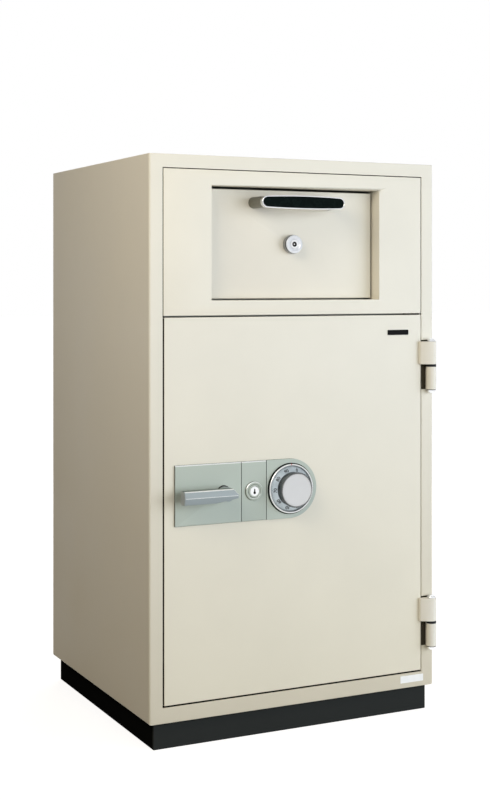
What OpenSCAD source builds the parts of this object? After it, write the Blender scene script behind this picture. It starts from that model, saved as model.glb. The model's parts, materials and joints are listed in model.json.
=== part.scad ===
// Fireproof drop safe: steel body with insulated walls, a hinged door and a tilting deposit hopper.
// Millimetres. X runs across the front, Y runs from the front to the back, Z is up.
// The origin is at floor level, under the middle of the whole object.
// Inside the modules, x = 0 is the middle of the front, y = 0 the front face and z = 0 the underside
// of the steel body; the place module moves a piece from there to the origin.

/* [Body] */
// Width of the steel body
body_w = 600; // [560:1:680]
// Depth of the steel body, front face to back
body_d = 530; // [480:1:620]
// Height of the steel body without its plinth
body_h = 1017; // [980:1:1100]
// Thickness of the outer steel sheet
sheet = 2; // [1.5:0.1:3]
// Thickness of the inner liner sheet
liner_t = 2; // [1:0.1:3]
// Radius of the bent front edges
front_edge_r = 4; // [3.2:0.1:6]
// Radius of the bent lower edges
lower_edge_r = 5.5; // [3.2:0.1:8]
// Height of the roof from the outside to the cavity
roof_t = 51; // [40:1:70]
// Depth of the back wall from the outside to the cavity
back_t = 55; // [40:1:80]

/* [Plinth] */
// Height of the plinth
plinth_h = 48; // [30:1:80]
// How far the plinth stands in from the sides and the back
plinth_side_inset = 12; // [5:1:40]
// How far the plinth stands in from the front
plinth_front_inset = 9; // [5:1:40]
// Thickness of the plinth sheet
plinth_sheet = 3; // [2:0.1:5]
// Width of the plinth flanges that meet the floor and the body
plinth_flange = 30; // [15:1:60]

/* [Anchor holes] */
// Radius of the four holes through the floor of the safe
anchor_r = 7; // [5:0.5:9]
// Distance between the anchor holes across the width
anchor_dx = 320; // [200:1:400]
// Distance between the anchor holes along the depth
anchor_dy = 240; // [150:1:300]

/* [Front frame] */
// Width of the face beside the door
frame_side = 26.5; // [20:0.5:40]
// Height of the face above the top panel
frame_top = 24.3; // [18:0.1:40]
// Height of the face below the door
frame_bottom = 28; // [20:0.5:45]
// Depth of the rebate that takes the door slab
rebate_d = 39; // [39:0.5:60]
// Step from the rebate to the inner opening
frame_step = 18.5; // [14:0.5:30]
// Depth of the whole door frame
frame_d = 85; // [85:0.5:110]
// Thickness of the frame sheet
frame_sheet = 2; // [1.5:0.1:3]

/* [Top panel] */
// Height of the top panel with its upper seam
panel_h = 265.7; // [250:0.1:300]
// Width of the seam round the top panel
panel_seam = 1.5; // [0.5:0.1:3]
// Width of the recessed window
win_w = 354.6; // [300:0.2:420]
// Height of the window sill above the lower edge of the panel
win_sill = 27.2; // [20:0.1:40]
// Height of the window
win_h = 211.8; // [190:0.1:211.8]
// Depth of the walls of the window
win_d = 45; // [43:0.5:60]

/* [Hopper] */
// Depth from the front face to the hopper plate
hopper_recess = 27; // [20:0.5:30]
// Thickness of the hopper plate
hopper_plate_t = 2.5; // [2:0.1:4]
// Gap beside and below the hopper plate
hopper_gap = 3; // [2:0.1:5]
// Gap above the hopper plate
hopper_top_gap = 7; // [5:0.1:12]
// Depth of the folded edge of the hopper plate
hopper_fold = 9.5; // [7:0.5:12]
// Thickness of the bin sheet
bin_sheet = 1.5; // [1:0.1:2.5]
// Radius of the bin sides about the pivot
bin_r = 150; // [120:1:160]
// Distance from the plate's front face to the pivot axis
pivot_back = 9; // [8:0.1:12]
// Height of the pivot axis above the lower edge of the plate
pivot_up = 17.8; // [14:0.1:25]
// Radius of the pivot pins
pivot_r = 3; // [2:0.1:3.5]
// Distance that the bin floor lies below the pivot axis
bin_drop = 5.5; // [2:0.1:6]
// Height of the lower edge of the baffle above the window sill
baffle_up = 46; // [40:1:90]

/* [Hopper pull] */
// Width of the pull
pull_w = 174; // [120:1:200]
// Height of the pull in its middle
pull_h = 25.5; // [20:0.5:30]
// Height of the pull at its ends
pull_end_h = 20.5; // [16:0.5:26]
// How far the pull stands forward of the hopper plate
pull_proud = 50; // [40:1:55]
// Thickness of the front bar of the pull
pull_bar_t = 9; // [8:0.5:14]
// Thickness of the legs of the pull
pull_leg_t = 11; // [8:0.5:16]
// Width of the bright rim round the insert
pull_rim = 2.4; // [1.5:0.1:5]
// Distance of the pull's middle below the upper edge of the plate
pull_down = 24; // [20:0.5:40]
// How far the ends of the pull curve back
pull_bow = 4; // [1:0.5:6]
// Depth of the pocket that holds the insert
pull_pocket = 5; // [3:0.5:5.5]

/* [Hopper lock] */
// Distance of the hopper lock below the upper edge of the plate
hlock_down = 100.3; // [85:0.1:120]
// Radius of the lock collar
collar_r = 17.5; // [15:0.1:22]
// How far the lock collar stands forward of the plate
collar_h = 6; // [3:0.1:9]
// Radius of the turning cylinder
hcyl_r = 8.5; // [6:0.1:9.5]
// Radius at which the cam pins turn
hcam_r = 7; // [6:0.1:8]
// Height of a lock rod
rod_h = 11; // [10.5:0.5:14]
// Thickness of a lock rod
rod_t = 3; // [2:0.1:4]

/* [Door] */
// Gap round the door
door_gap = 3; // [2.5:0.1:5]
// Thickness of the door slab inside the rebate
slab_t = 36; // [34:0.5:36.5]
// Thickness of the door skin
skin_t = 3; // [2:0.1:4]
// Thickness of the pan plate that closes the slab
pan_plate_t = 3; // [2:0.1:4]
// Thickness of the pan rim
pan_rim_t = 2; // [1.5:0.1:3]
// Depth of the whole door
door_t = 80; // [76:0.5:82]
// Gap between the pan and the inner opening
pan_gap = 10; // [9:0.5:14]
// Thickness of the back panel of the door
back_panel_t = 2; // [1:0.1:3]
// Width of the door seal
seal_w = 8; // [5:0.5:10]

/* [Hinges] */
// Radius of a hinge barrel
barrel_r = 9.5; // [8:0.1:11]
// Distance of the hinge axis from the edge of the body
hinge_in = 10; // [9.6:0.1:12]
// Gap between the barrel and the front face
barrel_gap = 0.5; // [0.3:0.1:2]
// Height of one knuckle
knuckle_h = 44.1; // [35:0.1:60]
// Height of the washer between the knuckles
washer_h = 5; // [2:0.1:8]
// Height of the washer of the lower hinge above the body's underside
hinge_low = 122.9; // [90:0.1:200]
// Height of the door above the washer of the upper hinge
hinge_high = 101.2; // [70:0.1:200]
// Radius of a hinge pin
hinge_pin_r = 4.5; // [3:0.1:6]
// Height of a hinge cap
hinge_cap_h = 6.5; // [3:0.1:9]
// Reach of the door leaf from the hinge axis
leaf_reach = 28; // [26:0.1:34]
// Thickness of the door leaf
leaf_t = 6.5; // [4:0.1:8]

/* [Lock plates] */
// Height of the lock row above the body's underside
lock_z = 404.3; // [380:0.1:420]
// Height of the lock plates
plate_h = 110; // [100:0.5:120]
// Thickness of the lock plates
plate_t = 3.5; // [2:0.1:6]
// Distance from the door's left edge to the left end of the plates
plate_in = 19.5; // [12:0.5:30]
// Distance from the left end of the plates to the seam beside the key plate
seam_a_in = 131.8; // [129:0.1:136]
// Distance from the left end of the plates to the seam beside the dial plate
seam_b_in = 183.1; // [181:0.1:185]
// Width of the two seams
seam_w = 1.1; // [0.4:0.1:2]

/* [Lever] */
// Distance from the left end of the plates to the lever axis
lever_in = 95.5; // [94:0.1:101]
// Reach of the grip from the lever axis
lever_reach = 93; // [80:0.5:95]
// Height of the grip
grip_h = 24.6; // [20:0.1:30]
// Depth of the grip
grip_t = 18; // [12:0.5:20]
// How far the lever stands forward of the front face
lever_proud = 42; // [38:0.5:50]
// Radius of the boss behind the grip
boss_r = 12.5; // [10:0.1:15]
// Radius of the lever spindle
spindle_r = 8; // [6:0.1:9]
// Radius at which the crank pin turns
crank_r = 20; // [16:0.5:22]
// Turn of the lever that throws the bolts
lever_turn = 60; // [40:1:60]

/* [Bolts] */
// Radius of a live bolt
bolt_r = 10; // [8:0.1:11]
// Distance of the upper live bolt below the top of the pan
bolt_down = 64.2; // [50:0.1:100]
// Distance of the bolt axes behind the front face
bolt_y = 58; // [56:0.5:60]
// Radius of a fixed bolt on the hinge side
dog_r = 8; // [6:0.1:9]
// Thickness of the bolt bar
bar_t = 4; // [3:0.1:5]
// Height of the lock rail above the lock row
rail_up = 36; // [33:0.5:40]
// Height of the lock rail
rail_h = 20; // [16:0.5:24]

/* [Key lock] */
// Distance from the left end of the plates to the key lock
key_in = 157; // [155:0.1:159]
// Radius of the raised rosette
rosette_r = 17.5; // [15:0.1:20]
// How far the rosette stands forward of its plate
rosette_h = 3.5; // [1:0.1:5]
// Outer radius of the lock barrel
key_barrel_r = 12; // [11:0.1:13]
// Radius of the key cylinder
key_cyl_r = 9; // [7:0.1:9.5]
// Radius at which the drive pin of the cylinder turns
key_crank_r = 5.6; // [5:0.1:6]

/* [Combination lock] */
// Distance from the left end of the plates to the dial
dial_in = 233; // [231:0.1:235]
// Outer radius of the fixed dial ring
ring_r = 47.5; // [44:0.1:50]
// Radius of the turning dial
dial_r = 42; // [40:0.1:42.5]
// Radius of the dial knob
knob_r = 30.2; // [26:0.1:32]
// How far the knob stands forward of the front face
knob_proud = 30; // [26:0.5:36]
// Radius of the dial spindle
dial_spindle_r = 4; // [3:0.1:4.5]
// Radius of the wheels
wheel_r = 22; // [18:0.5:23]
// Thickness of a wheel
wheel_t = 3; // [2:0.1:3]
// Spacing of the wheels along the spindle
wheel_pitch = 4.5; // [4:0.1:4.6]
// Travel of the lock tongue
tongue_travel = 9; // [6:0.5:9]

/* [Clearances] */
// Radial clearance of a shaft in its bore
run = 0.06; // [0.02:0.01:0.1]
// Radial clearance of a fixed pin in its hole
seat = 0.02; // [0.01:0.01:0.05]
// Clearance between sliding pieces
slide = 0.3; // [0.2:0.05:0.4]

/* [Hidden] */
$fn = 64;
arc_fn = 1440;
eps = 0.01;
cut = 1;

// Depth of the whole object and the shift that centres it on the origin
mid_y = (body_d - lever_proud) / 2;
body_hw = body_w / 2;

// The opening of the rebate, the inner opening and the cavity
open_hw = body_hw - frame_side;
open_z0 = frame_bottom;
open_z1 = body_h - frame_top;
inner_hw = open_hw - frame_step;
inner_z0 = open_z0 + frame_step;
inner_z1 = body_h - roof_t;
cavity_y1 = body_d - back_t;

// Top panel and its window
panel_hw = open_hw - panel_seam;
panel_z1 = open_z1 - panel_seam;
panel_z0 = open_z1 - panel_h;
lintel_z0 = panel_z0 - frame_step;
win_hw = win_w / 2;
win_z0 = panel_z0 + win_sill;
win_z1 = win_z0 + win_h;

// Door slab and pan
door_hw = open_hw - door_gap;
door_z0 = open_z0 + door_gap;
door_z1 = panel_z0 - door_gap;
tray_hw = door_hw - skin_t;
pan_y = slab_t - pan_plate_t;
pan_hw = inner_hw - pan_gap;
pan_z0 = inner_z0 + pan_gap;
pan_z1 = lintel_z0 - pan_gap;
pan_back = door_t - back_panel_t;

// The lock row, measured to the left from the middle
plate_left = door_hw - plate_in;
seam_a = plate_left - seam_a_in;
seam_b = plate_left - seam_b_in;
lever_x = plate_left - lever_in;
key_x = plate_left - key_in;
dial_x = plate_left - dial_in;

// Hinge axis and heights
hinge_x = body_hw - hinge_in;
hinge_y = -barrel_r - barrel_gap;
hinge_zs = [hinge_low, door_z1 - hinge_high];
knuckle_foot = 7;
cap_rim = 2;

// Hopper plate, pivot and chute
hplate_hw = win_hw - hopper_gap;
hplate_z0 = win_z0 + hopper_gap;
hplate_z1 = win_z1 - hopper_top_gap;
hplate_back = hopper_recess + hopper_plate_t;
pivot_y = hopper_recess + pivot_back;
pivot_z = hplate_z0 + pivot_up;
bin_hw = hplate_hw - bin_sheet;
chute_y1 = frame_d;
chute_drop = 1.5 * liner_t;
chute_z1 = lintel_z0 + frame_sheet + chute_drop;
chute_a = atan2(win_z0 - chute_z1, chute_y1 - win_d);
baffle_y = pivot_y + bin_r + 3;
baffle_z = win_z0 + baffle_up;
baffle_flange = 12;
housing_drop = 12;
pin_head_r = pivot_r + 0.6;
lug_r = pivot_r + 3;
pull_z = hplate_z1 - pull_down;
hlock_z = hplate_z1 - hlock_down;
collar_neck_r = 11;

// Hopper lock rods
hcam_y = hplate_back + 3.8;
hcam_t = 2;
hpin_r = 2;
keyway_w = 2.2;
rod_y = hcam_y + hcam_t + 0.7;
rod_travel = 2 * hcam_r * sin(45);
rod_end = hplate_hw - 0.8;
cover_y = rod_y + rod_t + 2.5;

// Bolt work
bar_y = slab_t + 10;
bolt_travel = 2 * crank_r * sin(lever_turn / 2);
bar_left = pan_hw - pan_rim_t - bolt_travel - 3;
bolt_tip = pan_hw + 1;
bolt_pitch = pan_z1 - bolt_down - lock_z;
bolt_pocket = 2;
dog_swing = 8;
dog_room = 3;
dog_reach = 12;
dog_head_t = 5;
flange_t = 4;
flange_back = bolt_y + bolt_r + 2;
stud_x = bar_left - flange_t - 9;
stud_r = 4;
stud_head_r = 8;
stud_zs = [-1.3 * bolt_pitch / 2, -0.75 * bolt_pitch / 2, 0.75 * bolt_pitch / 2, 1.3 * bolt_pitch / 2];
grip_bevel_x = 4;
grip_end_x = 13.5;
grip_taper_x = 31;
grip_top_drop = 10.3;
grip_low_rise = 6.8;
crank_y = slab_t + 2;
crank_t = 6;
crank_pin_r = 4;
crank_hw = 7;
spindle_nose = 6;
rail_z = lock_z + rail_up;
notch_d = tongue_travel + 1;
notch_w = 10;

// Key lock tongue
ktongue_w = notch_w - 1;
kpin_r = 2;
kcyl_back = bar_y - 2;
khouse_hw = 16;
khouse_back = kcyl_back - 3;

// Combination lock case, measured from the dial axis
case_left = 26;
case_right = 48;
case_down = 27;
case_up = 30;
case_wall = 2.5;
case_y = slab_t;
case_depth = 28;
case_back = slab_t + case_depth;
post_r = 6;
wheel_y = case_y + case_wall + 1.5;
wheel_turns = [25, -40, 70];
gate_w = 5;
gate_d = 6;
fly_r = 1.8;
drive_y = wheel_y + 3 * wheel_pitch + 1;
drive_t = 4;
tongue_in = 36;
tongue_x = -dial_x + tongue_in;
tongue_w = notch_w - 1;
tongue_y = bar_y - 1;
tongue_t = bar_t + 2;
fence_h = 8;
ring_h = 5.5;
dial_back = plate_t + 0.6;
dial_edge = 3;
dial_h = 9;
knob_bevel = 1.2;
spindle_grip = 8;

// The back screws of the door
screw_r = 2.5;
screw_in = 12;
screw_len = 12;
screw_head_r = 4.6;
screw_head_h = 2.6;
screw_slot = 1.2;
screw_places = [
    for (x = [-1, 0, 1], z = [pan_z0 + screw_in, pan_z1 - screw_in]) [x * (pan_hw - screw_in), z],
    for (side = [-1, 1]) [pan_hw - screw_in, lock_z + side * bolt_pitch / 2]
];

ivory = "#e4e0d0";
sage = "#aab4a8";

module place() {
    translate([0, -mid_y, plinth_h]) children();
}

// A box from its lowest corner to its highest
module span(a, b) {
    translate(a) cube(b - a);
}

// A box that is as far left of the middle as it is right
module wide(hw, y0, y1, z0, z1) {
    span([-hw, y0, z0], [hw, y1, z1]);
}

// A cylinder along Y, from y0 to y1
module rod_along_y(r, y0, y1) {
    translate([0, y0, 0]) rotate([-90, 0, 0]) cylinder(r = r, h = y1 - y0);
}

// A cylinder along X, from x0 to x1
module rod_along_x(r, x0, x1) {
    translate([x0, 0, 0]) rotate([0, 90, 0]) cylinder(r = r, h = x1 - x0);
}

// A flat shape given in y and z, carried along X from x0 to x1
module slab_yz(x0, x1) {
    translate([x0, 0, 0]) rotate([90, 0, 90]) linear_extrude(x1 - x0) children();
}

// A flat shape given in x and z, carried along Y from y0 to y1
module slab_xz(y0, y1) {
    translate([0, y1, 0]) rotate([90, 0, 0]) linear_extrude(y1 - y0) children();
}

module mirror_pair() {
    children();
    mirror([1, 0, 0]) children();
}

// Body

module footprint() {
    difference() {
        translate([-body_hw, 0]) square([body_w, body_d]);
        for (side = [-1, 1])
            translate([side * (body_hw - front_edge_r), front_edge_r])
                difference() {
                    translate([side > 0 ? 0 : -front_edge_r - 1, -front_edge_r - 1])
                        square([front_edge_r + 1, front_edge_r + 1]);
                    circle(r = front_edge_r);
                }
    }
}

module front_outline() {
    difference() {
        translate([-body_hw, 0]) square([body_w, body_h - sheet]);
        for (side = [-1, 1])
            translate([side * (body_hw - lower_edge_r), lower_edge_r])
                difference() {
                    translate([side > 0 ? 0 : -lower_edge_r - 1, -lower_edge_r - 1])
                        square([lower_edge_r + 1, lower_edge_r + 1]);
                    circle(r = lower_edge_r);
                }
    }
}

module anchor_holes(z0, z1) {
    for (sx = [-1, 1], sy = [-1, 1])
        translate([sx * anchor_dx / 2, body_d / 2 + sy * anchor_dy / 2, z0])
            cylinder(r = anchor_r, h = z1 - z0);
}

module outer_shell() {
    color(ivory) place() difference() {
        intersection() {
            linear_extrude(body_h) footprint();
            slab_xz(-1, body_d + 1) front_outline();
        }
        wide(body_hw - sheet, sheet, body_d + 1, sheet, body_h);
        wide(open_hw, -1, sheet + 1, open_z0, open_z1);
        anchor_holes(-1, sheet + 1);
    }
}

module top_plate() {
    color(ivory) place() translate([0, 0, body_h - sheet]) linear_extrude(sheet) footprint();
}

module back_plate() {
    color(ivory) place() wide(body_hw - sheet, body_d - sheet, body_d, sheet, body_h - sheet);
}

module plinth() {
    hw = body_hw - plinth_side_inset;
    y0 = plinth_front_inset;
    y1 = body_d - plinth_side_inset;
    s = plinth_sheet;
    f = plinth_flange;
    color("#222524") place() difference() {
        wide(hw, y0, y1, -plinth_h, 0);
        wide(hw - s, y0 + s, y1 - s, -plinth_h + s, -s);
        wide(hw - f, y0 + f, y1 - f, -plinth_h - 1, 1);
    }
}

module bolt_pockets(r, x0, x1) {
    for (k = [-1, 0, 1])
        translate([0, bolt_y, lock_z + k * bolt_pitch]) rod_along_x(r, x0, x1);
}

// Slots that the fixed bolts swing out of
module dog_slots(x0, x1) {
    for (k = [-1, 0, 1])
        span([x0, bolt_y - dog_r - dog_swing, lock_z + k * bolt_pitch - dog_r - 1],
             [x1, bolt_y + dog_r + dog_room, lock_z + k * bolt_pitch + dog_r + 1]);
}

module side_insulation() {
    front_z0 = open_z0 - frame_sheet;
    front_z1 = open_z1 + frame_sheet;
    color("#cfc9bd") place() difference() {
        mirror_pair() {
            span([open_hw + frame_sheet, sheet, front_z0],
                 [body_hw - sheet, rebate_d + frame_sheet, front_z1]);
            span([inner_hw + frame_sheet, rebate_d + frame_sheet, inner_z0 - frame_sheet],
                 [body_hw - sheet, body_d - sheet, inner_z1 + frame_sheet]);
        }
        bolt_pockets(bolt_r + bolt_pocket, -inner_hw - bolt_travel, -inner_hw);
        dog_slots(inner_hw, inner_hw + dog_reach + dog_room);
    }
}

module roof_insulation() {
    color("#cfc9bd") place() slab_yz(-body_hw + sheet, body_hw - sheet) polygon([
        [sheet, open_z1 + frame_sheet],
        [rebate_d + frame_sheet, open_z1 + frame_sheet],
        [rebate_d + frame_sheet, inner_z1 + frame_sheet],
        [body_d - sheet, inner_z1 + frame_sheet],
        [body_d - sheet, body_h - sheet],
        [sheet, body_h - sheet]
    ]);
}

module floor_insulation() {
    color("#cfc9bd") place() difference() {
        slab_yz(-body_hw + sheet, body_hw - sheet) polygon([
            [sheet, sheet],
            [body_d - sheet, sheet],
            [body_d - sheet, inner_z0 - frame_sheet],
            [rebate_d + frame_sheet, inner_z0 - frame_sheet],
            [rebate_d + frame_sheet, open_z0 - frame_sheet],
            [sheet, open_z0 - frame_sheet]
        ]);
        anchor_holes(0, inner_z0);
    }
}

module back_insulation() {
    color("#cfc9bd") place() wide(inner_hw + frame_sheet, cavity_y1 + liner_t, body_d - sheet,
                                  inner_z0 - frame_sheet, inner_z1 + frame_sheet);
}

module inner_liner() {
    color("#d8d6cf") place() difference() {
        wide(inner_hw + frame_sheet, frame_d, cavity_y1 + liner_t,
             inner_z0 - frame_sheet, inner_z1 + frame_sheet);
        wide(inner_hw, frame_d - 1, cavity_y1, inner_z0, inner_z1);
        anchor_holes(0, inner_z0 + 1);
    }
}

module front_frame() {
    s = frame_sheet;
    color(ivory) place() difference() {
        union() {
            wide(open_hw + s, sheet, rebate_d + s, open_z0 - s, open_z1 + s);
            wide(inner_hw + s, rebate_d + s, frame_d, inner_z0 - s, inner_z1 + s);
        }
        wide(open_hw, 0, rebate_d, open_z0, open_z1);
        wide(inner_hw, 0, frame_d + 1, inner_z0, inner_z1);
        bolt_pockets(bolt_r + bolt_pocket - 0.5, -inner_hw - s - cut, -inner_hw + cut);
        dog_slots(inner_hw - 1, inner_hw + s + 1);
    }
}

module lintel() {
    color(ivory) place() {
        wide(inner_hw, rebate_d, rebate_d + frame_sheet, lintel_z0, panel_z0);
        wide(inner_hw, rebate_d + frame_sheet, frame_d, lintel_z0, lintel_z0 + frame_sheet);
    }
}

// Holes for the ends of the hopper lock rods
module rod_ports(x0, x1) {
    mirror_pair() span([x0, rod_y - slide, hlock_z - rod_h - 1],
                       [x1, rod_y + rod_t + slide, hlock_z + rod_h + 1]);
}

module top_panel() {
    s = frame_sheet;
    color(ivory) place() difference() {
        wide(panel_hw, 0, rebate_d, panel_z0, panel_z1);
        difference() {
            wide(panel_hw - s, s, rebate_d + 1, panel_z0 + s, panel_z1 - s);
            wide(win_hw + s, 0, rebate_d + 2, win_z0 - s, win_z1 + s);
        }
        wide(win_hw, -1, rebate_d + 1, win_z0, win_z1);
        rod_ports(win_hw - 1, win_hw + s + 1);
        translate([0, pivot_y, pivot_z]) rod_along_x(pivot_r + seat, -win_hw - s - 1, win_hw + s + 1);
    }
}

module panel_insulation() {
    s = frame_sheet;
    color("#cfc9bd") place() difference() {
        union() {
            wide(panel_hw - s, s, rebate_d, panel_z0 + s, panel_z1 - s);
            wide(inner_hw, rebate_d, frame_d - liner_t, panel_z0, inner_z1);
            wide(inner_hw, rebate_d + s, frame_d - liner_t, lintel_z0 + s, panel_z0 + 1);
        }
        slab_yz(-win_hw - liner_t, win_hw + liner_t) polygon([
            [-1, win_z0 - chute_drop],
            [win_d, win_z0 - chute_drop],
            [chute_y1 + 1, chute_z1 - chute_drop - tan(chute_a)],
            [chute_y1 + 1, inner_z1 + 1],
            [rebate_d, inner_z1 + 1],
            [rebate_d, win_z1 + s],
            [-1, win_z1 + s]
        ]);
        rod_ports(win_hw, win_hw + rod_travel + 3);
    }
}

module hopper_housing() {
    side_z0 = lintel_z0 - housing_drop;
    color("#d8d6cf") place() {
        // the side walls, which run on from the walls of the window
        mirror_pair() slab_yz(win_hw, win_hw + liner_t) polygon([
            [rebate_d, win_z0],
            [win_d, win_z0],
            [chute_y1, chute_z1],
            [chute_y1, side_z0],
            [baffle_y + liner_t, side_z0],
            [baffle_y + liner_t, inner_z1],
            [rebate_d, inner_z1]
        ]);
        // the sloped chute floor
        slab_yz(-win_hw - liner_t, win_hw + liner_t) polygon([
            [rebate_d, win_z0],
            [win_d, win_z0],
            [chute_y1, chute_z1],
            [chute_y1, chute_z1 - chute_drop],
            [win_d, win_z0 - chute_drop],
            [rebate_d, win_z0 - chute_drop]
        ]);
        // the back flange, which covers the insulation of the panel
        difference() {
            wide(inner_hw, frame_d - liner_t, frame_d, lintel_z0 + frame_sheet, inner_z1);
            slab_yz(-win_hw - liner_t, win_hw + liner_t) polygon([
                [0, chute_z1],
                [chute_y1 - liner_t, chute_z1 - chute_drop],
                [chute_y1 + 1, chute_z1 - chute_drop],
                [chute_y1 + 1, inner_z1 + 1],
                [0, inner_z1 + 1]
            ]);
        }
    }
}

module baffle() {
    color("#b9bab6") place() {
        wide(win_hw, baffle_y, baffle_y + liner_t, baffle_z, inner_z1);
        wide(win_hw, baffle_y + liner_t, baffle_y + baffle_flange, baffle_z, baffle_z + liner_t);
    }
}

module hopper_pivot_pins() {
    color("#b8b8b8") place() mirror_pair() translate([0, pivot_y, pivot_z]) {
        rod_along_x(pivot_r, bin_hw - bin_sheet - 1, win_hw + frame_sheet);
        rod_along_x(pin_head_r, bin_hw - bin_sheet - 2, bin_hw - bin_sheet - slide);
    }
}

// Hinges: the body carries the lower knuckle and its pin, the door drops over the pin

module barrel(z0, z1, r) {
    translate([hinge_x, hinge_y, z0]) cylinder(r = r, h = z1 - z0);
}

module frame_hinge_knuckles() {
    color("#d9d6ca") place() for (z = hinge_zs) difference() {
        union() {
            barrel(z - knuckle_h, z, barrel_r);
            span([hinge_x - knuckle_foot, hinge_y, z - knuckle_h], [hinge_x + knuckle_foot, 0, z]);
        }
        barrel(z - knuckle_h - 1, z + 1, hinge_pin_r + seat);
    }
}

module hinge_pins() {
    color("#c9cbce") place() for (z = hinge_zs) {
        barrel(z - knuckle_h, z + washer_h + knuckle_h - 2, hinge_pin_r);
        barrel(z - knuckle_h - hinge_cap_h + cap_rim, z - knuckle_h, barrel_r - 1);
        barrel(z - knuckle_h - hinge_cap_h, z - knuckle_h, barrel_r - 1 - cap_rim);
    }
}

module hinge_washers() {
    color("#1c1d1e") place() for (z = hinge_zs) difference() {
        barrel(z, z + washer_h, barrel_r);
        barrel(z - 1, z + washer_h + 1, hinge_pin_r + run);
    }
}

module door_hinge_knuckles() {
    color("#d9d6ca") place() for (z = hinge_zs) difference() {
        z0 = z + washer_h;
        z1 = z0 + knuckle_h;
        union() {
            barrel(z0, z1, barrel_r);
            span([hinge_x - leaf_reach, hinge_y - barrel_r, z0],
                 [hinge_x, hinge_y - barrel_r + leaf_t, z1]);
            span([hinge_x - leaf_reach, hinge_y - barrel_r, z0], [door_hw - 0.5, 0, z1]);
        }
        barrel(z0 - 1, z1 + 1, hinge_pin_r + run);
    }
}

module hinge_caps() {
    color("#c9cbce") place() for (z = hinge_zs) {
        top = z + washer_h + knuckle_h;
        barrel(top, top + hinge_cap_h - cap_rim, barrel_r - 1);
        barrel(top, top + hinge_cap_h, barrel_r - 1 - cap_rim);
    }
}

// Door

// The three lock axes through the door
module lock_bores(y0, y1, lever_hole, key_hole, dial_hole) {
    translate([-lever_x, 0, lock_z]) rod_along_y(lever_hole, y0, y1);
    translate([-key_x, 0, lock_z]) rod_along_y(key_hole, y0, y1);
    translate([-dial_x, 0, lock_z]) rod_along_y(dial_hole, y0, y1);
}

module door_skin() {
    color(ivory) place() difference() {
        wide(door_hw, 0, slab_t, door_z0, door_z1);
        wide(tray_hw, skin_t, slab_t + 1, door_z0 + skin_t, door_z1 - skin_t);
        lock_bores(-1, skin_t + 1, spindle_r + run, key_barrel_r + seat, dial_spindle_r + run);
    }
}

module door_insulation() {
    color("#cfc9bd") place() difference() {
        wide(tray_hw, skin_t, pan_y, door_z0 + skin_t, door_z1 - skin_t);
        lock_bores(0, slab_t, spindle_r + 1, key_barrel_r + 0.5, dial_spindle_r + 1);
    }
}

module door_pan() {
    t = pan_rim_t;
    color("#d8d6cf") place() {
        difference() {
            wide(tray_hw, pan_y, slab_t, door_z0 + skin_t, door_z1 - skin_t);
            lock_bores(pan_y - 1, slab_t + 1, spindle_r + run, key_barrel_r + seat, dial_spindle_r + 1);
        }
        difference() {
            union() {
                difference() {
                    wide(pan_hw, slab_t - eps, pan_back, pan_z0, pan_z1);
                    wide(pan_hw - t, slab_t - 1, pan_back + 1, pan_z0 + t, pan_z1 - t);
                }
                // the lugs that take the back screws
                intersection() {
                    wide(pan_hw - t / 2, slab_t, pan_back, pan_z0 + t / 2, pan_z1 - t / 2);
                    for (at = screw_places)
                        span([at[0] - screw_in, 0, at[1] - screw_in],
                             [at[0] + screw_in, door_t, at[1] + screw_in]);
                }
            }
            bolt_pockets(bolt_r + slide, -pan_hw - 1, -pan_hw + t + 1);
            bolt_pockets(dog_r + seat, pan_hw - t - 1, pan_hw + 1);
            for (at = screw_places)
                translate([at[0], 0, at[1]])
                    rod_along_y(screw_r + seat, pan_back - screw_len - 3, pan_back + cut);
        }
    }
}

module door_back_panel() {
    color("#d8d6cf") place() difference() {
        wide(pan_hw, pan_back, door_t, pan_z0, pan_z1);
        for (at = screw_places)
            translate([at[0], 0, at[1]]) rod_along_y(screw_r + slide, pan_back - cut, door_t + cut);
    }
}

module door_back_screws() {
    color("#b8b8b8") place() for (at = screw_places) translate([at[0], 0, at[1]]) difference() {
        union() {
            rod_along_y(screw_r, pan_back - screw_len, door_t + 1);
            rod_along_y(screw_head_r, door_t, door_t + screw_head_h);
        }
        span([-screw_head_r - cut, door_t + screw_head_h - screw_slot, -screw_slot / 2],
             [screw_head_r + cut, door_t + screw_head_h + cut, screw_slot / 2]);
    }
}

module door_seal() {
    back = rebate_d - slide;
    inner_gap = (frame_step - seal_w) / 2 + 1;
    hw = inner_hw + inner_gap;
    color("#2c2c2c") place() difference() {
        wide(hw + seal_w, slab_t, back, inner_z0 - inner_gap - seal_w, lintel_z0 + inner_gap + seal_w);
        wide(hw, slab_t - 1, back + 1, inner_z0 - inner_gap, lintel_z0 + inner_gap);
    }
}

module fixed_bolts() {
    tip = inner_hw + dog_reach;
    color("#b8b8b8") place() for (k = [-1, 0, 1]) translate([0, bolt_y, lock_z + k * bolt_pitch]) {
        rod_along_x(dog_r, pan_hw - pan_rim_t - 3, tip);
        rod_along_x(1.3 * dog_r, pan_hw - pan_rim_t - dog_head_t, pan_hw - pan_rim_t);
    }
}

module lever_plate() {
    color(sage) place() difference() {
        span([-plate_left, -plate_t, lock_z - plate_h / 2],
             [-seam_a - seam_w / 2, 0, lock_z + plate_h / 2]);
        translate([-lever_x, 0, lock_z]) rod_along_y(spindle_r + run, -plate_t - 1, 1);
    }
}

module key_plate() {
    color(sage) place() difference() {
        union() {
            span([-seam_a + seam_w / 2, -plate_t, lock_z - plate_h / 2],
                 [-seam_b - seam_w / 2, 0, lock_z + plate_h / 2]);
            translate([-key_x, 0, lock_z]) rod_along_y(rosette_r, -plate_t - rosette_h, -plate_t + 1);
        }
        translate([-key_x, 0, lock_z]) rod_along_y(key_barrel_r + seat, -plate_t - rosette_h - 1, 1);
    }
}

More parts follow.
